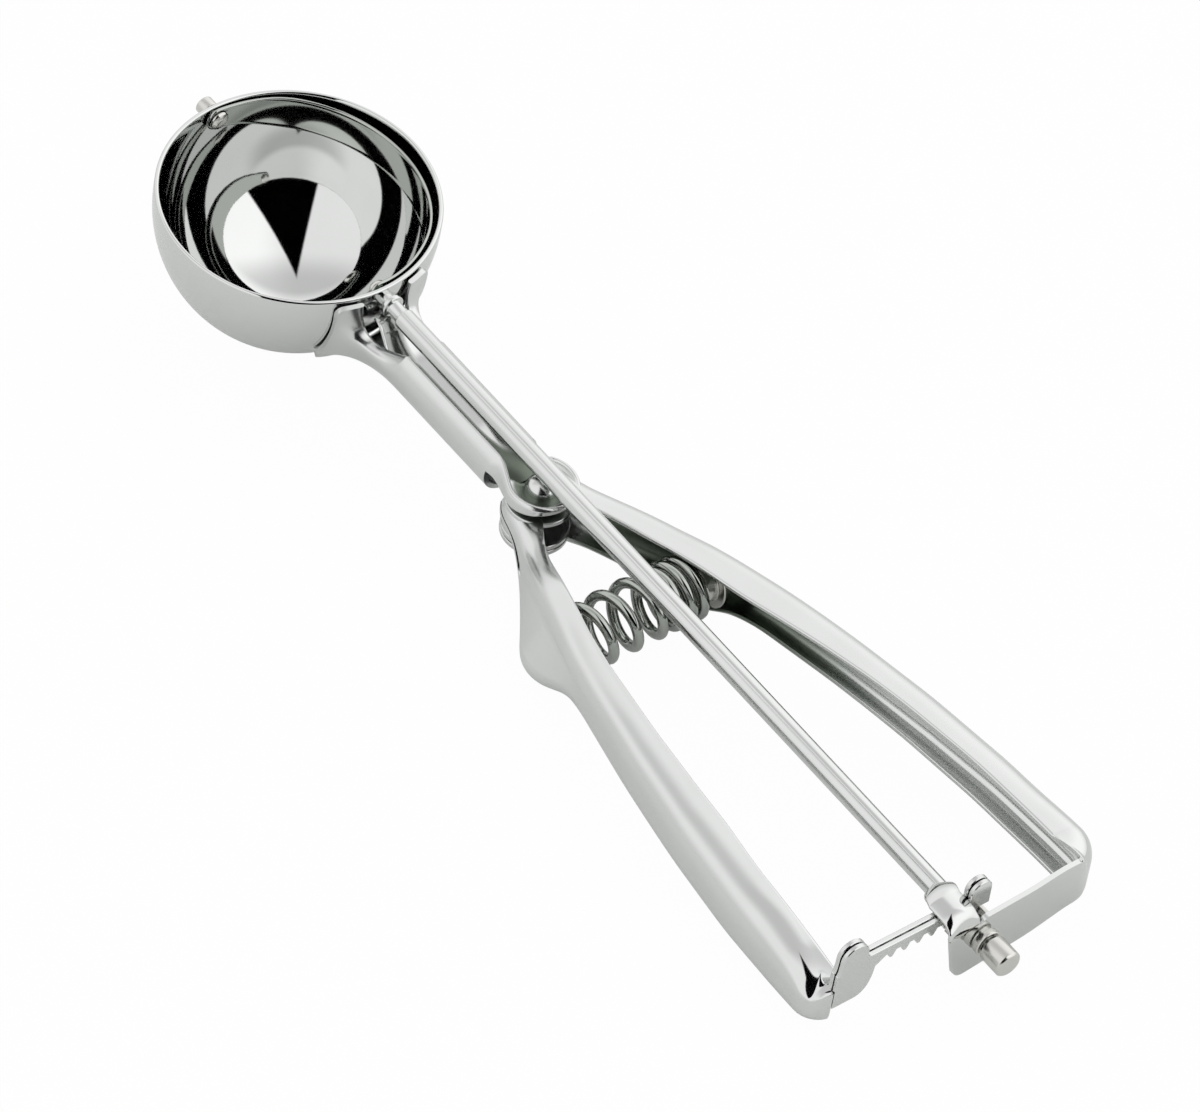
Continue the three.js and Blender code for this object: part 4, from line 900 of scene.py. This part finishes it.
def spring_tube(per_turn=44, sides=14):
    """The wire's line is X + R cos(angle), y(turn), Z + R sin(angle), with the angle running backwards, as
    the spring winds to the left, and a flat start and end; a circle in the line's normal plane is carried
    along it."""
    lead, open_pitch, open_turns, close_turns, first, last = 3.3, 5.5, 3.0, 2.7, -0.3, 6.3
    turn = np.linspace(first, last, int((last - first) * per_turn))
    knots = [first, 0, open_turns, open_turns + close_turns, last]
    heights = [spring_left + 0.9, spring_left + lead, spring_left + lead + open_turns * open_pitch,
               spring_right - lead, spring_right - 0.9]
    y = softened(np.interp(turn, knots, heights), 4)
    angle = -2 * np.pi * (turn + 0.5)
    line = xyz(SPRING_X + SPRING_RADIUS * np.cos(angle), y, SPRING_Z + SPRING_RADIUS * np.sin(angle))
    ahead = unit(np.gradient(line, axis=0))
    side = unit(np.cross(ahead, xyz(np.cos(angle), 0, np.sin(angle))))
    outward = np.cross(side, ahead)
    t = np.linspace(0, 2 * np.pi, sides, endpoint=False)[None, :, None]
    size = WIRE * np.r_[0, 0.85, np.ones(len(turn) - 4), 0.85, 0]
    ring = np.cos(t) * outward[:, None] + np.sin(t) * side[:, None]
    return line[:, None] + size[:, None, None] * ring, cells(len(turn), sides, False, True)


spring = new_piece("coil_spring", spring_tube(), ["spring"], None, "wire", soft_and_shade=0.2)
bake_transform(spring)

# %% Spring seats
for seat_name, seat_body, hand, face in (("spring_seat_right", "frame", 1, 14.8),
                                         ("spring_seat_left", "moving_handle", -1, 15.8)):
    seat_line = eased([[face - 3, 0], [face - 3, 3.6], [face - 2.4, 4.3], [face, 4.3], [face, 6.0],
                       [face + 1.2, 6.0], [face + 1.2, 0]], 0.3)
    cup = turned(seat_line * [hand, 1], "y", (SPRING_X, 0, SPRING_Z), 64)
    new_piece(seat_name + "_cup", cup, [seat_name], seat_body, "satin")

# %% [markdown]
# Steel finishes
#
# All of the scoop is stainless steel, polished on the sheet, turned on the small parts and darker on the
# hard spring steel of the blade and the wire. A mirror shows the room more than itself, so the finish is a
# bright metal with a low roughness that wanders a little, fine scratches from polishing, and a hair of bump.
# A piece's point attribute makes it rougher, and past 1 it mixes in a dark grey-green as painted shade, where
# shade falls in hollows and insides. Shader sums are written as Python expressions on sockets.


# %% Sockets and node trees
class Socket:
    """A node's output that can be added, taken away and multiplied, also with a number before it; each sum
    adds a Math node."""

    def __init__(self, shader, output):
        self.shader, self.output = shader, output

    def sum(self, operation, first, second):
        return self.shader.add("Math", {"operation": operation}, {0: first, 1: second})

    def __add__(self, other):
        return self.sum("ADD", self, other)

    __radd__ = __add__

    def __sub__(self, other):
        return self.sum("SUBTRACT", self, other)

    def __rsub__(self, other):
        return self.sum("SUBTRACT", other, self)

    def __mul__(self, other):
        return self.sum("MULTIPLY", self, other)

    __rmul__ = __mul__


class Shader:
    """A node tree and the one way to add to it: a type, its settings, its inputs and the wanted output."""

    def __init__(self, owner):
        owner.use_nodes = True
        self.tree = owner.node_tree
        self.tree.nodes.clear()

    def add(self, kind, settings=None, inputs=None, output=0):
        node = self.tree.nodes.new("ShaderNode" + kind)
        for key, value in (settings or {}).items():
            setattr(node, key, value)
        for key, value in (inputs or {}).items():
            if isinstance(value, Socket):
                self.tree.links.new(value.output, node.inputs[key])
            else:
                node.inputs[key].default_value = value
        return Socket(self, node.outputs[output]) if len(node.outputs) else node

    def mix(self, factor, first, second):
        return self.add("Mix", {"data_type": "RGBA"}, {"Factor": factor, "A": first, "B": second},
                        output="Result")


print("sums on sockets:", [name for name in vars(Socket) if name[-5:-2] in ("add", "sub", "mul")])

# %% Steel
# The first colour is a dark grey-green painted on as shade in hollows and insides; the patches are a random
# tone.
PAINTED_SHADE, PATCHES = (0.20, 0.23, 0.19, 1), 0.94


def steel(name, colour, rough, wander, scratch, grain=(1, 1, 1)):
    """A bright metal: its roughness is rough + 0.16 times the point attribute, wanders with a slow noise and
    varies on fine scratches, stretched by grain; as the attribute goes from 1 to 2 its colour goes to the
    dark grey-green of painted shade."""
    material = bpy.data.materials.new(name)
    s = Shader(material)
    place = s.add("TexCoord", output="Object")
    slow = s.add("TexNoise", {}, {"Vector": place, "Scale": 90.0, "Detail": 3.0})
    lines = s.add("Mapping", {}, {"Vector": place, "Scale": grain})
    fine = s.add("TexNoise", {}, {"Vector": lines, "Scale": 2600.0, "Detail": 2.0})
    soft_and_shade = s.add("Attribute", {"attribute_name": "soft_and_shade"}, output="Fac")
    roughness = rough + 0.16 * soft_and_shade + (0.3 + soft_and_shade) * (wander * (slow - 0.5) + scratch * (fine - 0.5))
    tone = s.mix(slow, (*[PATCHES * c for c in colour], 1), (*colour, 1))
    # Past 1 the point attribute mixes the painted shade colour in.
    shade_share = s.add("Math", {"operation": "SUBTRACT", "use_clamp": True}, {0: soft_and_shade, 1: 1.0})
    tone = s.mix(shade_share, tone, PAINTED_SHADE)
    bump = s.add("Bump", {}, {"Strength": 0.05, "Distance": 0.00002, "Height": fine})
    metal = s.add("BsdfPrincipled", {}, {"Base Color": tone, "Metallic": 1.0, "Roughness": roughness,
                                         "Normal": bump})
    s.add("OutputMaterial", {}, {"Surface": metal})
    return material


finishes = {"polished": steel("polished_steel", (0.72, 0.73, 0.72), 0.04, 0.04, 0.04, (0.25, 1, 1)),
            "satin": steel("turned_steel", (0.68, 0.67, 0.64), 0.04, 0.05, 0.06, (1, 0.3, 0.3)),
            "wire": steel("spring_wire", (0.46, 0.48, 0.45), 0.03, 0.05, 0.05)}
blade = steel("blade_steel", (0.50, 0.52, 0.49), 0.03, 0.04, 0.04, (0.25, 1, 1))
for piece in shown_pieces():
    if piece.get("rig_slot"):
        piece.data.materials.clear()
        piece.data.materials.append(finishes[piece["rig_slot"]])
wiper.data.materials[0] = blade
print("finishes:", [material.name for material in (*finishes.values(), blade)])

# %% [markdown]
# Camera, studio and floor
#
# The picture was taken from above the left handle with a long lens. The studio is white all round and lights
# the scoop evenly. Only mirror rays see its shades: a little brighter on the right, dimmer overhead, and a
# dark V open towards the camera, which the polished bowl and folds show as black bands. The floor is white
# to the camera, and pale paint that keeps a faint shadow to everything else.

# %% Camera
VIEW_DISTANCE, VIEW_MIDDLE, VIEW_LEFT, VIEW_DOWN = 2456.9, np.array([90.0, 0, 0]), 0.35, 4.53
view_back = unit(np.array([0.467, -0.478, 0.744]))
view_right = unit(np.cross([-0.646, 0.389, 0.656], view_back))
view_up = np.cross(view_back, view_right)
eye = VIEW_MIDDLE + VIEW_DISTANCE * view_back - VIEW_LEFT * view_right - VIEW_DOWN * view_up
camera_data = bpy.data.cameras.new("camera")
camera_data.lens, camera_data.sensor_width, camera_data.clip_end = 420, 36, 20
camera = new_object("camera", camera_data)
turn = np.stack([view_right, view_up, view_back]) @ scoop_axes
camera.matrix_world = Matrix.Translation(room(eye)) @ Matrix(turn.T.tolist()).to_4x4()
scene.camera = camera
print("camera in the room:", room(eye).round(3))

# %% Studio
SKY, SKY_RISE, KEY, DIM, V_TOP, V_RIGHT, V_LEFT, EDGE = 0.80, 0.25, 0.25, 0.32, 0.88, 0.61, 0.235, 0.04
world = bpy.data.worlds.new("studio")
scene.world = world
s = Shader(world)
direction = s.add("TexCoord", output="Generated")


def part_along(axis):
    """How far a direction points along an axis of the scoop's frame."""
    return s.add("VectorMath", {"operation": "DOT_PRODUCT"}, {0: direction, 1: (axis @ scoop_axes).tolist()},
                 output="Value")


def between(value, low, high):
    """The smooth step of a socket from 0 at low to 1 at high."""
    return s.add("MapRange", {"interpolation_type": "SMOOTHSTEP"},
                 {"Value": value, "From Min": low, "From Max": high})


back, side, up = part_along(view_back), part_along(view_right), part_along(view_up)
depth = V_TOP - up
dark = (between(V_RIGHT * depth - side, 0, EDGE) * between(side + V_LEFT * depth, 0, EDGE)
        * between(back, 0.1, 0.2))
sky = SKY + SKY_RISE * between(part_along(np.array([0, 0, 1.0])), -0.1, 0.4)
key = between(side, -0.05, 0.6)
dim = between(up, 0.5, 0.85) * between(back, 0.15, 0.35)
mirror = sky * (1 + KEY * key) * (1 - DIM * dim) * (1 - dark)
strength = 1 + s.add("LightPath", output="Is Glossy Ray") * (mirror - 1)
light = s.add("Background", {}, {"Color": (1, 1, 1, 1), "Strength": strength})
s.add("OutputWorld", {}, {"Surface": light})
print("studio:", len(world.node_tree.nodes), "nodes")

# %% Floor
FLOOR_HALF, FLOOR_SEEN, FLOOR_MIRRORED = 4, 0.97, 0.1
floor_mesh = bpy.data.meshes.new("floor")
corners = ((-1, -1), (1, -1), (1, 1), (-1, 1))
floor_mesh.from_pydata([(FLOOR_HALF * x, FLOOR_HALF * y, 0) for x, y in corners], [], [(0, 1, 2, 3)])
floor = new_object("floor", floor_mesh)
floor_material = bpy.data.materials.new("white_floor")
s = Shader(floor_material)
paint = s.add("BsdfDiffuse", {}, {"Color": (0.76, 0.77, 0.76, 1)})
glow = s.add("Emission", {}, {"Color": (1, 1, 1, 1), "Strength": 1.0})
seen = s.add("LightPath", output="Is Camera Ray")
mirrored = s.add("LightPath", output="Is Glossy Ray")
mix = s.add("MixShader", {}, {0: FLOOR_SEEN * seen + FLOOR_MIRRORED * mirrored, 1: paint, 2: glow})
s.add("OutputMaterial", {}, {"Surface": mix})
floor.data.materials.append(floor_material)
print("floor:", 2 * FLOOR_HALF, "m across")

# %% View transform
scene.view_settings.view_transform = "Standard"
